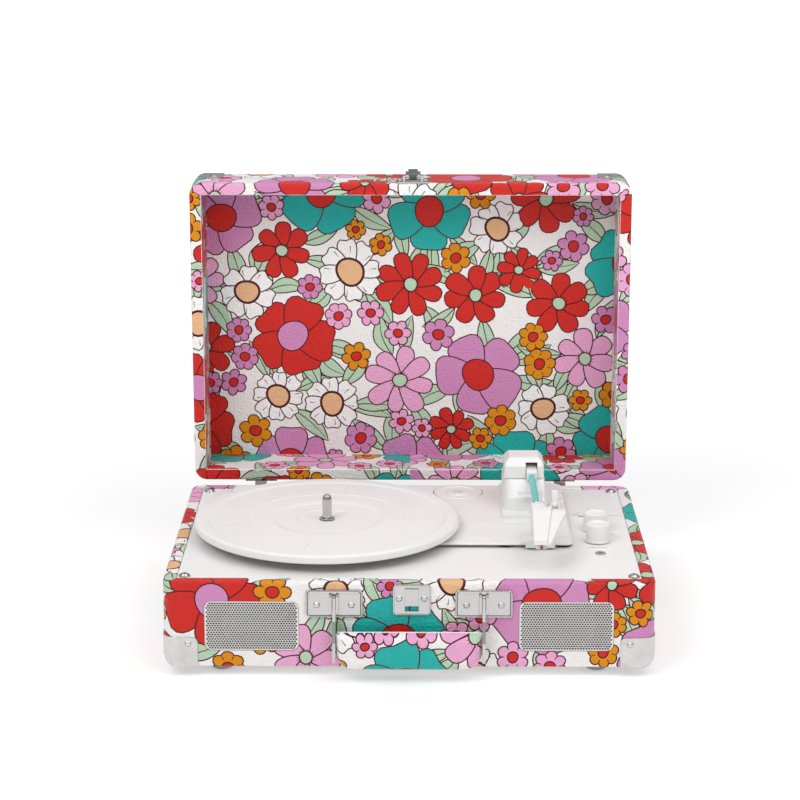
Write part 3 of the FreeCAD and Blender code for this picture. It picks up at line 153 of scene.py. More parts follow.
def object_place(made, stretch=(1, 1, 1)):
    """The point's own coordinates on its piece, in metres, stretched if asked."""
    nodes = made.node_tree.nodes
    place = nodes.new("ShaderNodeTexCoord").outputs["Object"]
    if stretch == (1, 1, 1):
        return place
    mapping = nodes.new("ShaderNodeMapping")
    mapping.inputs["Scale"].default_value = stretch
    link(made, place, mapping.inputs["Vector"])
    return mapping.outputs["Vector"]


def noise(made, scale, detail=3.0, stretch=(1, 1, 1)):
    node = made.node_tree.nodes.new("ShaderNodeTexNoise")
    node.inputs["Scale"].default_value = scale
    node.inputs["Detail"].default_value = detail
    link(made, object_place(made, stretch), node.inputs["Vector"])
    return node.outputs["Fac"]


def cells(made, scale):
    """Rounded cells, as in embossed leather grain."""
    node = made.node_tree.nodes.new("ShaderNodeTexVoronoi")
    node.feature = "SMOOTH_F1"
    node.inputs["Scale"].default_value = scale
    node.inputs["Smoothness"].default_value = 0.6
    link(made, object_place(made), node.inputs["Vector"])
    return node.outputs["Distance"]


def scaled(made, value, low, high, start=0.3, end=0.7):
    """A value from start to end, mapped to low to high."""
    node = made.node_tree.nodes.new("ShaderNodeMapRange")
    for socket, size in zip(node.inputs[1:5], (start, end, low, high)):
        socket.default_value = size
    link(made, value, node.inputs["Value"])
    return node.outputs["Result"]


def tinted(made, value, first, second):
    node = made.node_tree.nodes.new("ShaderNodeMix")
    node.data_type = "RGBA"
    for socket, colour in zip([s for s in node.inputs if s.type == "RGBA"], (first, second)):
        socket.default_value = (*colour, 1)
    link(made, value, node.inputs["Factor"])
    return next(s for s in node.outputs if s.type == "RGBA")


def bumped(made, shader, layers, edge=0.0):
    """Stack bumps on a shader, over softened edges if a radius is given.

    Each layer is (height, strength, depth in metres).
    """
    normal = None
    if edge:
        soft = made.node_tree.nodes.new("ShaderNodeBevel")
        soft.samples = 4
        soft.inputs["Radius"].default_value = edge
        normal = soft.outputs["Normal"]
    for height, strength, depth in layers:
        node = made.node_tree.nodes.new("ShaderNodeBump")
        node.inputs["Strength"].default_value = strength
        node.inputs["Distance"].default_value = depth
        link(made, height, node.inputs["Height"])
        if normal is not None:
            link(made, normal, node.inputs["Normal"])
        normal = node.outputs["Normal"]
    link(made, normal, shader.inputs["Normal"])


def shade(colour, by):
    return tuple(min(1, channel * by) for channel in colour)


# ---------------------------------------------------------------- materials

INK_COLOURS = {
    "ground": (238, 235, 233),
    "line": (76, 18, 24),
    "teal": (34, 173, 166),
    "red": (204, 40, 32),
    "orchid": (205, 137, 184),
    "pink": (230, 166, 204),
    "mustard": (218, 139, 12),
    "mint": (182, 208, 180),
    "peach": (228, 180, 136),
    "white": (242, 240, 239),
    "board": (196, 190, 182),
    "shadow": (12, 11, 11),
}
INKS = list(INK_COLOURS)


def vinyl(name, colour):
    """Embossed vinyl in one ink: leather grain, and a sheen that breaks up."""
    made, shader = material(f"vinyl_{name}", linear(*colour), 0.45)
    link(made, scaled(made, noise(made, 240), 0.36, 0.54), shader.inputs["Roughness"])
    shader.inputs["Specular IOR Level"].default_value = 0.22
    shader.inputs["Sheen Weight"].default_value = 0.12
    shader.inputs["Sheen Roughness"].default_value = 0.3
    bumped(made, shader, [
        (cells(made, 620), 1.0, 0.0007),
        (noise(made, 1700, 4), 0.5, 0.0003),
    ])
    return made


def moulded(name, colour, roughness, grain=0.3):
    """Moulded plastic with a fine spark-eroded texture and a slight change of shade."""
    made, shader = material(name, colour, roughness)
    link(made, tinted(made, noise(made, 14), colour, shade(colour, 0.95)), shader.inputs["Base Color"])
    link(made, scaled(made, noise(made, 90), roughness - 0.05, roughness + 0.07), shader.inputs["Roughness"])
    layers = [(noise(made, 2600, 3), grain, 0.00008), (noise(made, 40), 0.15, 0.0003)]
    bumped(made, shader, layers, 0.0002)
    return made


def plated(name, colour, low, high, scratches=0.25, worn=0.86):
    """Plated or bare metal with hazy patches and fine scratches."""
    made, shader = material(name, colour, low, 1.0)
    link(made, tinted(made, noise(made, 90, 6), colour, shade(colour, worn)), shader.inputs["Base Color"])
    link(made, scaled(made, noise(made, 150, 5), low, high), shader.inputs["Roughness"])
    bumped(made, shader, [
        (noise(made, 700, 4, (1, 0.08, 1)), scratches, 0.00004),
        (noise(made, 110), 0.3, 0.0002),
    ], 0.0006)
    return made


def rubber_like(name, colour):
    made, shader = material(name, colour, 0.7)
    link(made, scaled(made, noise(made, 300), 0.6, 0.85), shader.inputs["Roughness"])
    bumped(made, shader, [(noise(made, 1500), 0.4, 0.0002)])
    return made


def wooden(name, colour):
    made, shader = material(name, colour, 0.6)
    grain = noise(made, 60, 6, (1, 1, 0.08))
    link(made, tinted(made, grain, colour, shade(colour, 0.6)), shader.inputs["Base Color"])
    bumped(made, shader, [(grain, 0.4, 0.0004)])
    return made


def slot_materials():
    white = (0.85, 0.845, 0.84)
    return {
        "white_plastic": moulded("white_plastic", white, 0.36),
        "grey_plastic": moulded("grey_plastic", (0.32, 0.32, 0.33), 0.42),
        "teal_tube": moulded("teal_tube", linear(98, 198, 190), 0.3, 0.15),
        "red_plastic": moulded("red_plastic", linear(150, 62, 58), 0.3),
        "chrome": plated("chrome", (0.6, 0.59, 0.585), 0.1, 0.24),
        "silver_metal": plated("silver_metal", (0.7, 0.69, 0.68), 0.2, 0.46, 0.5, 0.78),
        "steel": plated("steel", (0.16, 0.16, 0.165), 0.3, 0.5),
        "grille_metal": plated("grille_metal", (0.82, 0.8, 0.78), 0.35, 0.5),
        "brass": plated("brass", (0.72, 0.53, 0.25), 0.22, 0.4),
        "gold": plated("gold", (0.9, 0.68, 0.3), 0.18, 0.32),
        "rubber": rubber_like("rubber", (0.3, 0.29, 0.28)),
        "black_rubber": rubber_like("black_rubber", (0.02, 0.02, 0.02)),
        "paper_cone": rubber_like("paper_cone", (0.05, 0.05, 0.055)),
        "board": moulded("board", (0.05, 0.2, 0.09), 0.4),
        "wood": wooden("wood", (0.58, 0.4, 0.22)),
    }


# ---------------------------------------------------------------- printed flowers, flat


def counter_clockwise(loop):
    loop = np.asarray(loop, float)
    x, y = loop.T
    area = np.dot(x, np.roll(y, -1)) - np.dot(y, np.roll(x, -1))
    return loop if area > 0 else loop[::-1]


def grown(loop, by):
    """The closed outline moved outward."""
    loop = counter_clockwise(loop)
    along = np.roll(loop, -1, axis=0) - np.roll(loop, 1, axis=0)
    along /= np.maximum(np.linalg.norm(along, axis=1, keepdims=True), 1e-9)
    return loop + by * np.column_stack([along[:, 1], -along[:, 0]])


def turned(points, angle, x, y):
    cosine, sine = math.cos(angle), math.sin(angle)
    points = np.asarray(points, float)
    return points @ np.array([[cosine, sine], [-sine, cosine]]) + (x, y)


def petal(length, width, blunt=0.8, dent=0.0, lean=0.0, points=20):
    """A petal along +x from the origin, widest in its outer half."""
    turn = np.arange(points) * 2 * math.pi / points
    along = 0.5 - 0.5 * np.cos(turn)
    side = np.sin(turn)
    side = np.sign(side) * np.abs(side) ** blunt * (0.42 + 0.58 * along)
    x = along - dent * np.exp(-((side / 0.22) ** 2)) * (along > 0.5)
    return np.column_stack([x * length, side * width / 2 + lean * width * along ** 2])


def disc(radius, wobble, rng, points=24):
    turn = np.arange(points) * 2 * math.pi / points
    reach = radius * (1 + wobble * np.sin(2 * turn + rng.uniform(0, 6)) + 0.5 * wobble * np.sin(3 * turn))
    return np.column_stack([reach * np.cos(turn), reach * np.sin(turn)])


def stroke(start, end, width):
    """A short pen line that thins out."""
    start, end = np.array(start, float), np.array(end, float)
    across = (end - start)[::-1] * (-1, 1)
    across *= width / 2 / np.linalg.norm(across)
    return np.array([start - across, end - 0.3 * across, end + 0.3 * across, start + across])


def ray_stroke(angle, near, far, width):
    direction = np.array([math.cos(angle), math.sin(angle)])
    return stroke(direction * near, direction * far, width)


PEN = 1.0


def outlined(ink, loop, pen=PEN):
    return [("line", grown(loop, pen / 2)), (ink, grown(loop, -pen / 2))]


def ring_of_petals(count, radius, width, ink, rng, **form):
    """Petals round the origin, with their sizes varied a little."""
    shapes = []
    first = rng.uniform(0, 2 * math.pi)
    for i in range(count):
        angle = first + 2 * math.pi * i / count + rng.uniform(-0.07, 0.07)
        size = radius * rng.uniform(0.93, 1.05)
        one = petal(size, width * size * rng.uniform(0.93, 1.06), lean=rng.uniform(-0.06, 0.06), **form)
        shapes += outlined(ink, turned(one, angle, 0, 0))
    return shapes


def broad_flower(radius, inks, rng):
    """Five wide petals round a large plain middle."""
    shapes = ring_of_petals(5, radius, 1.2, inks[0], rng, blunt=0.66, dent=rng.uniform(0, 0.08))
    shapes += outlined(inks[1], disc(radius * 0.37, 0.05, rng))
    return shapes


def daisy(radius, inks, rng):
    """Seven or eight petals round a small middle with a fringe of pen ticks."""
    count = rng.choice([7, 7, 8])
    shapes = ring_of_petals(count, radius, 5.3 / count, inks[0], rng, blunt=0.78)
    middle = radius * 0.2
    for i in range(18):
        shapes.append(("line", ray_stroke(i * math.pi / 9, middle, middle * 1.45, 0.7)))
    shapes += outlined(inks[1], disc(middle, 0.04, rng), 1.1)
    return shapes


def scalloped(radius, inks, rng):
    """A small flower of round lobes."""
    lobes = rng.choice([6, 7])
    first = rng.uniform(0, 6)
    outer, inner = [], []
    for i in range(lobes):
        angle = first + 2 * math.pi * i / lobes
        x, y = radius * 0.64 * math.cos(angle), radius * 0.64 * math.sin(angle)
        lobe = turned(disc(radius * 0.36, 0.05, rng, 16), 0, x, y)
        outer.append(("line", grown(lobe, PEN / 2)))
        inner.append((inks[0], grown(lobe, -PEN / 2)))
    shapes = outer + inner + [(inks[0], disc(radius * 0.6, 0, rng))]
    for i in range(lobes):
        between = first + 2 * math.pi * (i + 0.5) / lobes
        shapes.append(("line", ray_stroke(between, radius * 0.72, radius * 0.5, PEN)))
    shapes += outlined(inks[1], disc(radius * 0.34, 0.06, rng, 18))
    return shapes


def anemone(radius, inks, rng):
    """White ruffled petals round a heavy dark ring."""
    count = rng.choice([7, 8])
    shapes = ring_of_petals(count, radius, 6.2 / count, inks[0], rng, blunt=0.62, dent=0.07)
    ring = disc(radius * 0.42, 0.06, rng)
    for i in range(count):
        angle = 2 * math.pi * (i + rng.uniform(-0.2, 0.2)) / count
        shapes.append(("line", ray_stroke(angle, radius * 0.8, radius * 0.58, 0.8)))
    shapes.append(("line", grown(ring, 1.0)))
    shapes.append((inks[1], grown(ring, -1.0)))
    return shapes


def leaf(length, width, bend):
    """A pointed leaf along +x with a bent middle rib."""
    share = np.linspace(0, 1, 11)
    rib = np.column_stack([share * length, bend * np.sin(share * math.pi)])
    spread = width / 2 * np.sin(share * math.pi) ** 0.85 * (1.1 - 0.35 * share)
    aside = np.column_stack([0 * spread, spread])
    shapes = outlined("mint", np.vstack([(rib - aside)[:-1], (rib + aside)[:0:-1]]))
    thin = np.column_stack([0 * share, 0.5 * PEN * (1 - 0.6 * share)])
    shapes.append(("line", np.vstack([(rib - thin)[:-1], (rib + thin)[-2::-1]])))
    return shapes


BROAD_INKS = (("teal", "red"), ("orchid", "red"), ("red", "orchid"), ("teal", "red"), ("orchid", "red"))
DAISY_INKS = (("red", "mint"), ("pink", "mint"), ("red", "mint"))
SMALL_INKS = (("mustard", "red"), ("orchid", "red"), ("mustard", "red"), ("pink", "red"))

SQUARE_DECIMETRE = 10000
# how much of its radius a flower may stand past the edge of the sheet
OVERHANG = 0.45
# how near, in radii of the two, a small flower takes the colours of another
CLUSTER = 1.3
LEAVES_PER_FLOWER = 4
LEAF_LENGTHS, LEAF_WIDTHS, LEAF_BENDS = (28, 42), (12, 17), (-4, 4)
# where a leaf starts, as a share of the radius of its flower
LEAF_ROOT = 0.75
# Each kind: how it is drawn, its radii in mm, its elbow room, tries per square decimetre, its inks.
KINDS = (
    (broad_flower, (30, 38), 1.22, 24, BROAD_INKS),
    (daisy, (24, 30), 0.96, 24, DAISY_INKS),
    (anemone, (21, 27), 0.9, 40, (("white", "peach"),)),
    (daisy, (18, 23), 0.9, 40, DAISY_INKS),
    (scalloped, (11, 14.5), 0.88, 120, SMALL_INKS),
    (scalloped, (8.5, 11), 0.88, 60, SMALL_INKS),
)


def sow(low, high, rng):
    """Flowers that fill a sheet, the large kinds first: (kind, x, y, radius, inks).

    A small flower takes the colours of a small neighbour, so that they come in clusters.
    """
    placed = []
    area = (high[0] - low[0]) * (high[1] - low[1]) / SQUARE_DECIMETRE
    for draw, radii, room, tries, choices in KINDS:
        for _ in range(int(tries * area) + 4):
            radius = rng.uniform(*radii)
            over = OVERHANG * radius
            x = rng.uniform(low[0] - over, high[0] + over)
            y = rng.uniform(low[1] - over, high[1] + over)
            gaps = [(math.hypot(x - f[1], y - f[2]) / (radius + f[3]), f) for f in placed]
            if all(gap > room for gap, _ in gaps):
                near = [f[4] for gap, f in gaps if gap < CLUSTER and f[0] is draw is scalloped]
                inks = near[0] if near else choices[len(placed) % len(choices)]
                placed.append((draw, x, y, radius, inks))
    return placed


def floral_sheet(low, high, seed):
    """The print of a sheet: leaves underneath, then flowers from large to small."""
    rng = random.Random(seed)
    flowers = sow(low, high, rng)
    shapes = []
    for draw, x, y, radius, inks in flowers:
        if draw is scalloped:
            continue
        for _ in range(LEAVES_PER_FLOWER):
            angle = rng.uniform(0, 2 * math.pi)
            one = leaf(*(rng.uniform(*sizes) for sizes in (LEAF_LENGTHS, LEAF_WIDTHS, LEAF_BENDS)))
            start = LEAF_ROOT * radius
            root = (x + start * math.cos(angle), y + start * math.sin(angle))
            shapes += [(ink, turned(part, angle, *root)) for ink, part in one]
    for draw, x, y, radius, inks in flowers:
        shapes += [(ink, turned(part, 0, x, y)) for ink, part in draw(radius, inks, rng)]
    return shapes


def inside(points, loop):
    """Which points lie in the closed outline."""
    x, y = points.T
    held = np.zeros(len(points), bool)
    loop = np.asarray(loop, float)
    for (x0, y0), (x1, y1) in zip(loop, np.roll(loop, -1, axis=0)):
        if y0 != y1:
            held ^= ((y0 > y) != (y1 > y)) & (x < x0 + (x1 - x0) * (y - y0) / (y1 - y0))
    return held


def cut_sheet(domain, shapes=(), folds=(), holes=(), ground="ground"):
    """Cut a flat sheet along its printed outlines and folds.

    Gives its points, its triangles and the ink of each triangle. A triangle takes the ink of
    the last shape drawn over it.
    """
    drawn = [(ground, domain), *shapes, *[(HOLE, hole) for hole in holes]]
    points, edges, faces = [], [], []
    for _, loop in drawn:
        start = len(points)
        points.extend(Vector(p) for p in counter_clockwise(loop))
        faces.append(list(range(start, len(points))))
    for first, last in folds:
        edges.append((len(points), len(points) + 1))
        points.extend((Vector(first), Vector(last)))
    points, _, triangles, _, _, sources = delaunay_2d_cdt(points, edges, faces, 0, CUT_TOLERANCE, True)
    points, triangles = np.array(points), np.array(triangles)
    covered = [[] for _ in drawn]
    for row, over in enumerate(sources):
        for number in over:
            covered[number].append(row)
    middles = points[triangles].mean(axis=1)
    on_sheet = np.zeros(len(triangles), bool)
    on_sheet[covered[0]] = True
    inks = np.zeros(len(triangles), int)
    for (ink, loop), rows in zip(drawn, covered):
        rows = np.array(rows, int)
        rows = rows[inside(middles[rows], loop)]
        if ink == HOLE:
            on_sheet[rows] = False
        else:
            inks[rows] = INKS.index(ink)
    used, triangles = np.unique(triangles[on_sheet], return_inverse=True)
    return points[used], triangles.reshape(-1, 3), inks[on_sheet]


# ---------------------------------------------------------------- pieces from cut sheets


class Patch:
    """Triangles in place, with a normal for each point and an ink for each triangle."""

    def __init__(self, points, normals, triangles, inks):
        self.points, self.normals, self.inks = points, normals, inks
        corners = points[triangles]
        facing = np.cross(corners[:, 1] - corners[:, 0], corners[:, 2] - corners[:, 0])
        wrong = np.einsum("ij,ij->i", facing, normals[triangles].sum(axis=1)) < 0
        triangles = triangles.copy()
        triangles[wrong] = triangles[wrong][:, ::-1]
        self.triangles = triangles


def strip(first, second, towards=None, ink="ground"):
    """A closed band of flat steps between two loops of points, facing a point if one is given."""
    first, second = np.vstack([first, first[:1]]), np.vstack([second, second[:1]])
    corners = np.stack([first[:-1], first[1:], second[1:], second[:-1]], axis=1)
    count = len(corners)
    facing = np.cross(corners[:, 1] - corners[:, 0], corners[:, 3] - corners[:, 0])
    facing /= np.maximum(np.linalg.norm(facing, axis=1, keepdims=True), 1e-12)
    if towards is not None:
        wrong = np.einsum("ij,ij->i", facing, np.asarray(towards) - corners.mean(axis=1)) < 0
        facing[wrong] *= -1
    starts = 4 * np.arange(count)[:, None]
    triangles = np.vstack([starts + (0, 1, 2), starts + (0, 2, 3)])
    inks = np.full(2 * count, INKS.index(ink))
    return Patch(corners.reshape(-1, 3), np.repeat(facing, 4, axis=0), triangles, inks)


def piping(path, radius, index=0, sides=8):
    """A round cord along a closed path in the XZ plane, in one of its piece's materials."""
    path = np.asarray(path, float)
    along = np.roll(path, -1, axis=0) - np.roll(path, 1, axis=0)
    along /= np.linalg.norm(along, axis=1, keepdims=True)
    outward = np.column_stack([along[:, 2], along[:, 1], -along[:, 0]])
    count = len(path)
    points, normals = [], []
    for turn in np.arange(sides) * 2 * math.pi / sides:
        normal = math.cos(turn) * outward + math.sin(turn) * np.array([0.0, 1.0, 0.0])
        points.append(path + radius * normal)
        normals.append(normal)
    i, j = np.meshgrid(np.arange(sides), np.arange(count), indexing="ij")
    a, b = i * count + j, i * count + (j + 1) % count
    c, d = (i + 1) % sides * count + (j + 1) % count, (i + 1) % sides * count + j
    triangles = np.vstack([np.stack(three, axis=-1).reshape(-1, 3) for three in ((a, b, c), (a, c, d))])
    return Patch(np.vstack(points), np.vstack(normals), triangles, np.full(len(triangles), index))


def make_piece(name, patches, materials, body, replaced=()):
    """One mesh object from patches, riding on a body."""
    sizes = [len(p.points) for p in patches]
    starts = np.concatenate([[0], np.cumsum(sizes)[:-1]])
    points = np.vstack([p.points for p in patches]) * MM
    normals = np.vstack([p.normals for p in patches])
    triangles = np.vstack([p.triangles + start for p, start in zip(patches, starts)])
    inks = np.concatenate([p.inks for p in patches])
    mesh = bpy.data.meshes.new(name)
    mesh.from_pydata(points.tolist(), [], triangles.tolist())
    for made in materials:
        mesh.materials.append(made)
    mesh.polygons.foreach_set("material_index", inks.astype(np.int32))
    mesh.shade_smooth()
    mesh.normals_split_custom_set_from_vertices(normals.tolist())
    piece = bpy.data.objects.new(name, mesh)
    bpy.context.scene.collection.objects.link(piece)
    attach(piece, body)
    if replaced:
        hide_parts(*replaced)
    return piece


class BoxShell:
    """A box shell with a print wrapped round it, over its rim and down its inner walls.

    Across the closed end lie a and b, and height runs from the closed end to the rim. On the
    sheet, u runs round the box from the middle of its +b side and v from the closed end.
    """

    # the radii of the upright corners, and of the rim's outer and inner edge
    ROUND = 10.0
    RIM_EDGE = 2.4
    INNER_EDGE = 0.9
    # where the sheet is folded to follow the rounding near the closed end
    END_FOLDS = (0.15, 0.6, 1.4, 2.6, 4.2, 6.2, 10)
    # the rows of the profile, on the rounded inner edge of the rim, between which a white band paints the
    # edge's highlight
    HIGHLIGHT_ROWS = [8, 9]

    def __init__(self, half_a, half_b, height, wall, inner_floor, to_frame):
        self.half_a, self.half_b, self.height = half_a, half_b, height
        self.wall, self.inner_floor, self.to_frame = wall, inner_floor, to_frame
        core_a, core_b = half_a - self.ROUND, half_b - self.ROUND
        arc = self.ROUND * math.pi / 2
        steps = [core_a, arc, 2 * core_b, arc, 2 * core_a, arc, 2 * core_b, arc, core_a]
        self.u_knots = np.concatenate([[0], np.cumsum(steps)])
        self.angles = np.radians([90, 90, 180, 180, 270, 270, 360, 360, 450, 450])
        self.core_a = core_a * np.array([0, -1, -1, -1, -1, 1, 1, 1, 1, 0])
        self.core_b = core_b * np.array([1, 1, 1, -1, -1, -1, -1, 1, 1, 1])
        self.profile = self.make_profile()
        steps = np.hypot(*np.diff(self.profile[:, :2], axis=0).T)
        self.v_knots = np.concatenate([[0], np.cumsum(steps)])

    def make_profile(self):
        """(inset, height, tilt) from the closed end, over the rim, to the inner floor."""
        rows = [(0, 0, 0)]
        for turn in np.radians(np.arange(0, 91, 18)):
            edge = self.RIM_EDGE
            rows.append((edge - edge * math.cos(turn), self.height - edge + edge * math.sin(turn), turn))
        for turn in np.radians(np.arange(90, 181, 30)):
            edge = self.INNER_EDGE
            inset = self.wall - edge - edge * math.cos(turn)
            rows.append((inset, self.height - edge + edge * math.sin(turn), turn))
        rows.append((self.wall, self.inner_floor, math.pi))
        return np.array(rows)

    def size(self):
        return self.u_knots[-1], self.v_knots[-1]

    def whole_sheet(self):
        wide, tall = self.size()
        return [(0, 0), (wide, 0), (wide, tall), (0, tall)]

    def inner_v(self, height):
        """How far along the sheet a height of the inner wall lies."""
        return self.v_knots[-1] - (height - self.inner_floor)

    def front_u(self, a):
        """Where a place along a on the -b side lies on the sheet."""
        return (self.u_knots[4] + self.u_knots[5]) / 2 + a

    def back_u(self, a):
        """Where a place along a on the +b side lies, for a above zero."""
        return self.u_knots[-1] - a

    def folds(self):
        wide, high = self.size()
        found = [((0, v), (wide, v)) for v in self.v_knots[1:-1]]
        found += [((0, v), (wide, v)) for v in self.END_FOLDS]
        for start in (1, 3, 5, 7):
            for u in np.linspace(self.u_knots[start], self.u_knots[start + 1], 7):
                found.append(((u, 0), (u, high)))
        return found

    def place(self, sheet):
        """Points and normals in the object's frame of points of the sheet."""
        u, v = sheet.T
        inset, height, tilt = (np.interp(v, self.v_knots, column) for column in self.profile.T)
        angle = np.interp(u, self.u_knots, self.angles)
        reach = self.ROUND - inset
        a = np.interp(u, self.u_knots, self.core_a) + reach * np.cos(angle)
        b = np.interp(u, self.u_knots, self.core_b) + reach * np.sin(angle)
        normals = np.column_stack([
            np.cos(tilt) * np.cos(angle), np.cos(tilt) * np.sin(angle), np.sin(tilt),
        ])
        below = np.clip(self.ROUND - height, 0, None)
        limit = self.half_a - self.ROUND + np.sqrt(np.maximum(self.ROUND ** 2 - below ** 2, 0))
        held = (np.abs(a) > limit - 1e-6) & (below > 0)
        side = np.sign(a[held])
        a[held] = side * limit[held]
        fall = below[held] / self.ROUND
        normals[held] = np.column_stack([side * np.sqrt(1 - fall ** 2), 0 * fall, -fall])
        return self.to_frame(np.column_stack([a, b, height])), self.to_frame(normals, turn_only=True)

    def flat(self, sheet, height, facing):
        """Points and normals of a flat sheet across the box, laid out in (a, b)."""
        points = np.column_stack([sheet, np.full(len(sheet), height)])
        normals = np.tile((0.0, 0.0, facing), (len(sheet), 1))
        return self.to_frame(points), self.to_frame(normals, turn_only=True)

    def end_outline(self):
        """The outline of the closed end in (a, b)."""
        limit = self.half_a - self.ROUND
        us = np.concatenate([
            np.linspace(self.u_knots[start], self.u_knots[start + 1], 7) for start in (1, 3, 5, 7)
        ])
        angle = np.interp(us, self.u_knots, self.angles)
        a = np.interp(us, self.u_knots, self.core_a) + self.ROUND * np.cos(angle)
        b = np.interp(us, self.u_knots, self.core_b) + self.ROUND * np.sin(angle)
        return np.column_stack([np.clip(a, -limit, limit), b])

    def inner_outline(self):
        return np.array(around(self.half_a - self.wall, self.half_b - self.wall))


def in_mm(corner):
    return np.array(corner) / MM


def upright_frame(floor_height):
    """The case: a is x, b is y, and height is z above its underside."""
    def to_frame(points, turn_only=False):
        return points if turn_only else points + (0, 0, floor_height)
    return to_frame


def lying_frame(back, middle_height, up=1):
    """The open lid: a is x, b is z about its middle, and height runs forward from its back.

    With up at -1, b runs down.
    """
    def to_frame(points, turn_only=False):
        a, b, height = points.T
        if turn_only:
            return np.column_stack([a, -height, up * b])
        return np.column_stack([a, back - height, up * b + middle_height])
    return to_frame


def rounded_rectangle(x, y, width, height, radius, steps=6):
    points = []
    for corner, (sx, sy) in enumerate(((1, 1), (-1, 1), (-1, -1), (1, -1))):
        for turn in np.radians(np.linspace(90 * corner, 90 * corner + 90, steps)):
            points.append((
                x + sx * (width / 2 - radius) + radius * math.cos(turn),
                y + sy * (height / 2 - radius) + radius * math.sin(turn),
            ))
    return np.array(points)


def circle(x, y, radius, points=32):
    turn = np.arange(points) * 2 * math.pi / points
    return np.column_stack([x + radius * np.cos(turn), y + radius * np.sin(turn)])


def on_wall(loop, y):
    """A loop in (x, z) as points at a depth y."""
    loop = np.asarray(loop, float)
    return np.column_stack([loop[:, 0], np.full(len(loop), y), loop[:, 1]])


# ---------------------------------------------------------------- case

WALL = 9.5
SPEAKER_OPENING = 20.5
GRILLE_CORNER = 5
# the recess round a grille: how much larger it is than the grille, and how deep
RECESS_GAP = 0.4
RECESS_DEPTH = 1.3
# the sown part of the sheet ends this far before the top plate
SOWN_SHORT_OF_PLATE = 15
# the bare board under the case, between the turned-in edges of the vinyl
TURN_IN_A, TURN_IN_B, BOARD_CORNER = 22, 12, 4
LID_PANEL = 3.5


def make_case(vinyls):
    low, high = (in_mm(corner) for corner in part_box("base_case"))
    half_a, half_b = (high[0] - low[0]) / 2, (high[1] - low[1]) / 2
    floor_height, height = low[2], high[2] - low[2]
    plate_top = in_mm(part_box("plinth_plate")[1])[2]
    inner_floor = in_mm(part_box("corner_blocks")[0])[2] - floor_height
    shell = BoxShell(half_a, half_b, height, WALL, inner_floor, upright_frame(floor_height))
    front, back = low[1], high[1]

    holes, extra = [], []
    for node in ("grille_left", "grille_right"):
        grille_low, grille_high = (in_mm(corner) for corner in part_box(node))
        middle = (grille_low + grille_high) / 2
        width, rise = (grille_high - grille_low)[[0, 2]] + RECESS_GAP
        z = middle[2] - floor_height
        holes.append(rounded_rectangle(shell.front_u(middle[0]), z, width, rise, GRILLE_CORNER))
        holes.append(circle(shell.front_u(middle[0]), shell.inner_v(z), SPEAKER_OPENING))
        outline = rounded_rectangle(middle[0], middle[2], width, rise, GRILLE_CORNER)
        opening = circle(middle[0], middle[2], SPEAKER_OPENING)
        bed = front + RECESS_DEPTH
        centre = (middle[0], front, middle[2])
        extra.append(strip(on_wall(outline, front), on_wall(outline, bed), centre, "shadow"))
        sheet, triangles, inks = cut_sheet(outline, holes=[opening], ground="shadow")
        facing = np.tile((0.0, -1.0, 0.0), (len(sheet), 1))
        extra.append(Patch(on_wall(sheet, bed), facing, triangles, inks))
        extra.append(strip(on_wall(opening, bed), on_wall(opening, front + WALL), centre, "shadow"))

    panel_low, panel_high = (in_mm(corner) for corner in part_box("rear_panel"))
    middle = (panel_low + panel_high) / 2
    width, rise = (panel_high - panel_low)[[0, 2]]
    z = middle[2] - floor_height
    # a corner so small that the opening is square
    corner, steps = 0.05, 2
    opening = rounded_rectangle(middle[0], middle[2], width, rise, corner, steps)
    for v in (z, shell.inner_v(z)):
        holes.append(rounded_rectangle(shell.back_u(middle[0]), v, width, rise, corner, steps))
    centre = (middle[0], back, middle[2])
    extra.append(strip(on_wall(opening, back), on_wall(opening, back - WALL), centre))

    print_end = shell.inner_v(plate_top - floor_height) - SOWN_SHORT_OF_PLATE
    shapes = floral_sheet((0, 0), (shell.size()[0], print_end), SEED)
    sheet, triangles, inks = cut_sheet(shell.whole_sheet(), shapes, shell.folds(), holes)
    patches = [Patch(*shell.place(sheet), triangles, inks), *extra]

    underside = shell.end_outline()
    bare = rounded_rectangle(0, 0, 2 * (half_a - TURN_IN_A), 2 * (half_b - TURN_IN_B), BOARD_CORNER)
    sheet, triangles, inks = cut_sheet(underside, [("board", bare)])
    patches.append(Patch(*shell.flat(sheet, 0, -1.0), triangles, inks))
    sheet, triangles, inks = cut_sheet(shell.inner_outline(), ground="board")
    patches.append(Patch(*shell.flat(sheet, inner_floor, 1.0), triangles, inks))
    make_piece("case_cover", patches, vinyls, "base", ["base_case"])


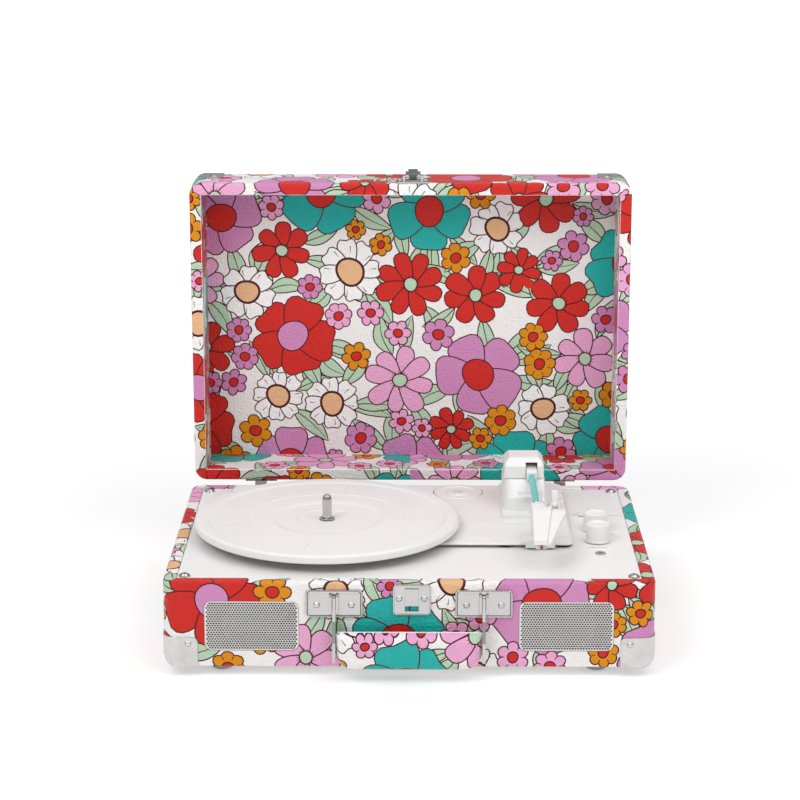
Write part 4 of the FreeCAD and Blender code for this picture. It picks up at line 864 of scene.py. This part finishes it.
def make_lid(vinyls):
    low, high = (in_mm(corner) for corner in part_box("lid_shell"))
    half_a, half_b = (high[0] - low[0]) / 2, (high[2] - low[2]) / 2
    depth = high[1] - low[1]
    back, middle_height = high[1], (low[2] + high[2]) / 2
    # the wrap is joined on the hinge side, which is where b starts from when it runs down
    shell = BoxShell(half_a, half_b, depth, WALL, LID_PANEL, lying_frame(back, middle_height, -1))
    wide, tall = shell.size()
    shapes = floral_sheet((0, 0), (wide, tall), SEED + 1)
    # a white band over the rounded inner edge of the rim: a painted highlight
    near, far = shell.v_knots[shell.HIGHLIGHT_ROWS]
    rim_highlight = ("white", [(0, near), (wide, near), (wide, far), (0, far)])
    sheet, triangles, inks = cut_sheet(shell.whole_sheet(), [*shapes, rim_highlight], shell.folds())
    wrap = Patch(*shell.place(sheet), triangles, inks)
    make_piece("lid_cover", [wrap], vinyls, "lid", ["lid_shell"])

    shell.to_frame = lying_frame(back, middle_height)
    outline = shell.end_outline()
    shapes = floral_sheet(outline.min(axis=0), outline.max(axis=0), SEED + 2)
    sheet, triangles, inks = cut_sheet(outline, shapes)
    cover = Patch(*shell.flat(sheet, 0, -1.0), triangles, inks)
    make_piece("lid_back_cover", [cover], vinyls, "lid")

    outline = shell.inner_outline()
    shapes = floral_sheet(outline.min(axis=0), outline.max(axis=0), SEED + 3)
    sheet, triangles, inks = cut_sheet(outline, shapes)
    lining = Patch(*shell.flat(sheet, LID_PANEL, 1.0), triangles, inks)
    make_piece("lid_lining", [lining], vinyls, "lid")


# ---------------------------------------------------------------- speaker grilles


def make_grille(node, metal):
    """A thin sheet punched with staggered round holes, all in millimetres."""
    low, high = (in_mm(corner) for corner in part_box(node))
    middle, size = (low + high) / 2, high - low
    outline = rounded_rectangle(middle[0], middle[2], size[0], size[2], GRILLE_CORNER)
    pitch, radius, border, behind = 1.95, 0.77, 0.5, 0.2
    row_pitch = pitch * 0.866
    rows = int((size[2] - 2 * border) / row_pitch)
    columns = int((size[0] - 2 * border) / pitch)
    holes = []
    for row in range(rows):
        z = middle[2] + (row - (rows - 1) / 2) * row_pitch
        for column in range(columns - row % 2):
            x = middle[0] + (column - (columns - 1 - row % 2) / 2) * pitch
            beyond_x = max(0, abs(x - middle[0]) - (size[0] / 2 - GRILLE_CORNER))
            beyond_z = max(0, abs(z - middle[2]) - (size[2] / 2 - GRILLE_CORNER))
            if math.hypot(beyond_x, beyond_z) < GRILLE_CORNER - border:
                holes.append(circle(x, z, radius, 8))
    sheet, triangles, inks = cut_sheet(outline, holes=holes)
    face, back = low[1], high[1] - behind
    patches = [
        Patch(on_wall(sheet, y), np.tile((0.0, facing, 0.0), (len(sheet), 1)), triangles, inks)
        for y, facing in ((face, -1.0), (back, 1.0))
    ]
    for hole in holes:
        x, z = hole.mean(axis=0)
        patches.append(strip(on_wall(hole, face), on_wall(hole, back), (x, face, z)))
    patches.append(strip(on_wall(outline, back), on_wall(outline, face), None))
    make_piece(f"{node}_mesh", patches, [metal], "base", [node])


# ---------------------------------------------------------------- handle


def make_handle(vinyls):
    """The padded grip: two printed faces that swell between their seams."""
    low, high = (in_mm(corner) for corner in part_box("handle_grip"))
    middle, half = (low + high) / 2, (high - low) / 2
    lower_round, upper_round, least_round = 12.5, 3.0, 0.4
    # the faces swell over a band this wide inside the seam, which is folded at these depths,
    # and thin out a little towards the ends
    edge, thinning = 7.0, 0.08
    depths = (0.15, 0.5, 1.1, 2.0, 3.2, 4.8, edge)
    seam_inset, seam_radius = 0.3, 0.8

    def outline(inset):
        points = []
        for i, (sx, sz) in enumerate(((1, 1), (-1, 1), (-1, -1), (1, -1))):
            reach = max((upper_round if sz > 0 else lower_round) - inset, least_round)
            for turn in np.radians(np.linspace(90 * i, 90 * i + 90, 9)):
                points.append((
                    middle[0] + sx * (half[0] - inset - reach) + reach * math.cos(turn),
                    middle[2] + sz * (half[2] - inset - reach) + reach * math.sin(turn),
                ))
        return np.array(points)

    def depth_inside(x, z):
        """How far a point lies inside the outline."""
        radius = np.where(z > middle[2], upper_round, lower_round)
        over_x = np.abs(x - middle[0]) - (half[0] - radius)
        over_z = np.abs(z - middle[2]) - (half[2] - radius)
        outside = np.hypot(np.maximum(over_x, 0), np.maximum(over_z, 0))
        return radius - outside - np.minimum(np.maximum(over_x, over_z), 0)

    def swell(x, z):
        share = np.clip(depth_inside(x, z) / edge, 0, 1)
        crown = 1 - thinning * ((x - middle[0]) / half[0]) ** 2
        return half[1] * crown * np.sqrt(np.maximum(1 - (1 - share) ** 2, 0))

    patches = []
    levels = [outline(inset) for inset in depths]
    folds = [pair for loop in levels for pair in zip(loop, np.roll(loop, -1, axis=0))]
    for facing, seed in ((-1, SEED + 4), (1, SEED + 5)):
        shapes = floral_sheet(low[[0, 2]], high[[0, 2]], seed)
        sheet, triangles, inks = cut_sheet(outline(0), shapes, folds)
        x, z = sheet.T
        step = 0.05
        slope_x = (swell(x + step, z) - swell(x - step, z)) / (2 * step)
        slope_z = (swell(x, z + step) - swell(x, z - step)) / (2 * step)
        normals = np.column_stack([-slope_x, np.full(len(x), float(facing)), -slope_z])
        normals /= np.linalg.norm(normals, axis=1, keepdims=True)
        points = np.column_stack([x, middle[1] + facing * swell(x, z), z])
        patches.append(Patch(points, normals, triangles, inks))
    seam = outline(seam_inset)
    path = np.column_stack([seam[:, 0], np.full(len(seam), middle[1]), seam[:, 1]])
    patches.append(piping(path, seam_radius))
    grip = make_piece("handle_padding", patches, vinyls, "handle", ["handle_grip"])


# ---------------------------------------------------------------- folded rims of the fittings


def make_rims(metal, fold_shade_metal):
    """The rolled rims of the handle brackets and the latch strike, and in each bracket a thin dark steel
    cord at its inner fold, which paints the shade of the fold.
    """
    thickness = 1.2
    plate_face = in_mm(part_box("base_case")[0])[1] - thickness
    bracket_away, bracket_high, bracket_size = 53.8, 56.0, (41.0, 20.5)
    strike_place, strike_size = (2.0, 59.0), (27.0, 23.0)
    plates = [((side * bracket_away, bracket_high), bracket_size) for side in (-1, 1)]
    plates.append((strike_place, strike_size))
    # each rim: how much smaller its path is than the plate, its corner, its radius, its depth
    # the inner fold's cord is dark steel: a small real cord whose colour paints the shade along each
    # bracket's fold
    edge_rim, painted_fold_shade = (1.0, 2.2, 0.6, 0), (2.9, 1.4, 0.3, 0.05)
    patches = []
    for (x, z), (width, height) in plates:
        rims = [edge_rim, painted_fold_shade] if (width, height) == bracket_size else [edge_rim]
        for index, (smaller, corner, radius, sunk) in enumerate(rims):
            path = rounded_rectangle(x, z, width - smaller, height - smaller, corner)
            patches.append(piping(on_wall(path, plate_face + sunk), radius, index))
    make_piece("fitting_rims", patches, [metal, fold_shade_metal], "base")


# ---------------------------------------------------------------- marks on the top plate


def make_marks():
    """Plain printed dashes and dots beside the controls, with no lettering."""
    step, corner, print_depth = 2.4, 0.28, 0.06
    # each mark: x, y, width, length
    slider_dash = (128.0, 43.9, 2.6, 0.9)
    slider_row = [(155.5 + step * i, 42.8, 1.4, 0.6) for i in range(5)]
    dots = [(x, y, 1.3, 1.3) for x, y in ((133.8, 2.3), (154.7, -5.1), (140.7, 58.7))]
    knob_row = [(135.6 + step * i, -39.0, 1.3, 1.2) for i in range(6)]
    jack_pair = [(x, -61.6, 1.3, 0.8) for x in (140.6, 145.1)]
    marks = [slider_dash, *dots, *slider_row, *knob_row, *jack_pair]
    print_height = in_mm(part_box("plinth_plate")[1])[2] + print_depth
    patches = []
    for x, y, width, length in marks:
        sheet, triangles, inks = cut_sheet(rounded_rectangle(x, y, width, length, corner, 4))
        points = np.column_stack([sheet, np.full(len(sheet), print_height)])
        patches.append(Patch(points, np.tile((0.0, 0.0, 1.0), (len(sheet), 1)), triangles, inks))
    ink = rubber_like("printed_marks", (0.16, 0.15, 0.15))
    make_piece("control_marks", patches, [ink], "base")


# ---------------------------------------------------------------- everything


def dress_nodes(finishes):
    """Give every carried-over CAD node the finish of its material slot."""
    for row in frame["record"]["subparts"]:
        finish = finishes.get(row["material_slot"])
        node = frame["nodes"][row["node"]]
        if finish is not None:
            node.data.materials.clear()
            node.data.materials.append(finish)


def main():
    make_camera()
    make_studio()
    make_floor()
    vinyls = [vinyl(name, INK_COLOURS[name]) for name in INKS]
    finishes = slot_materials()
    dress_nodes(finishes)
    make_case(vinyls)
    make_lid(vinyls)
    for node in ("grille_left", "grille_right"):
        make_grille(node, finishes["grille_metal"])
    make_handle(vinyls)
    # the steel cords paint the shade in the brackets' folds
    make_rims(finishes["chrome"], finishes["steel"])
    make_marks()


main()
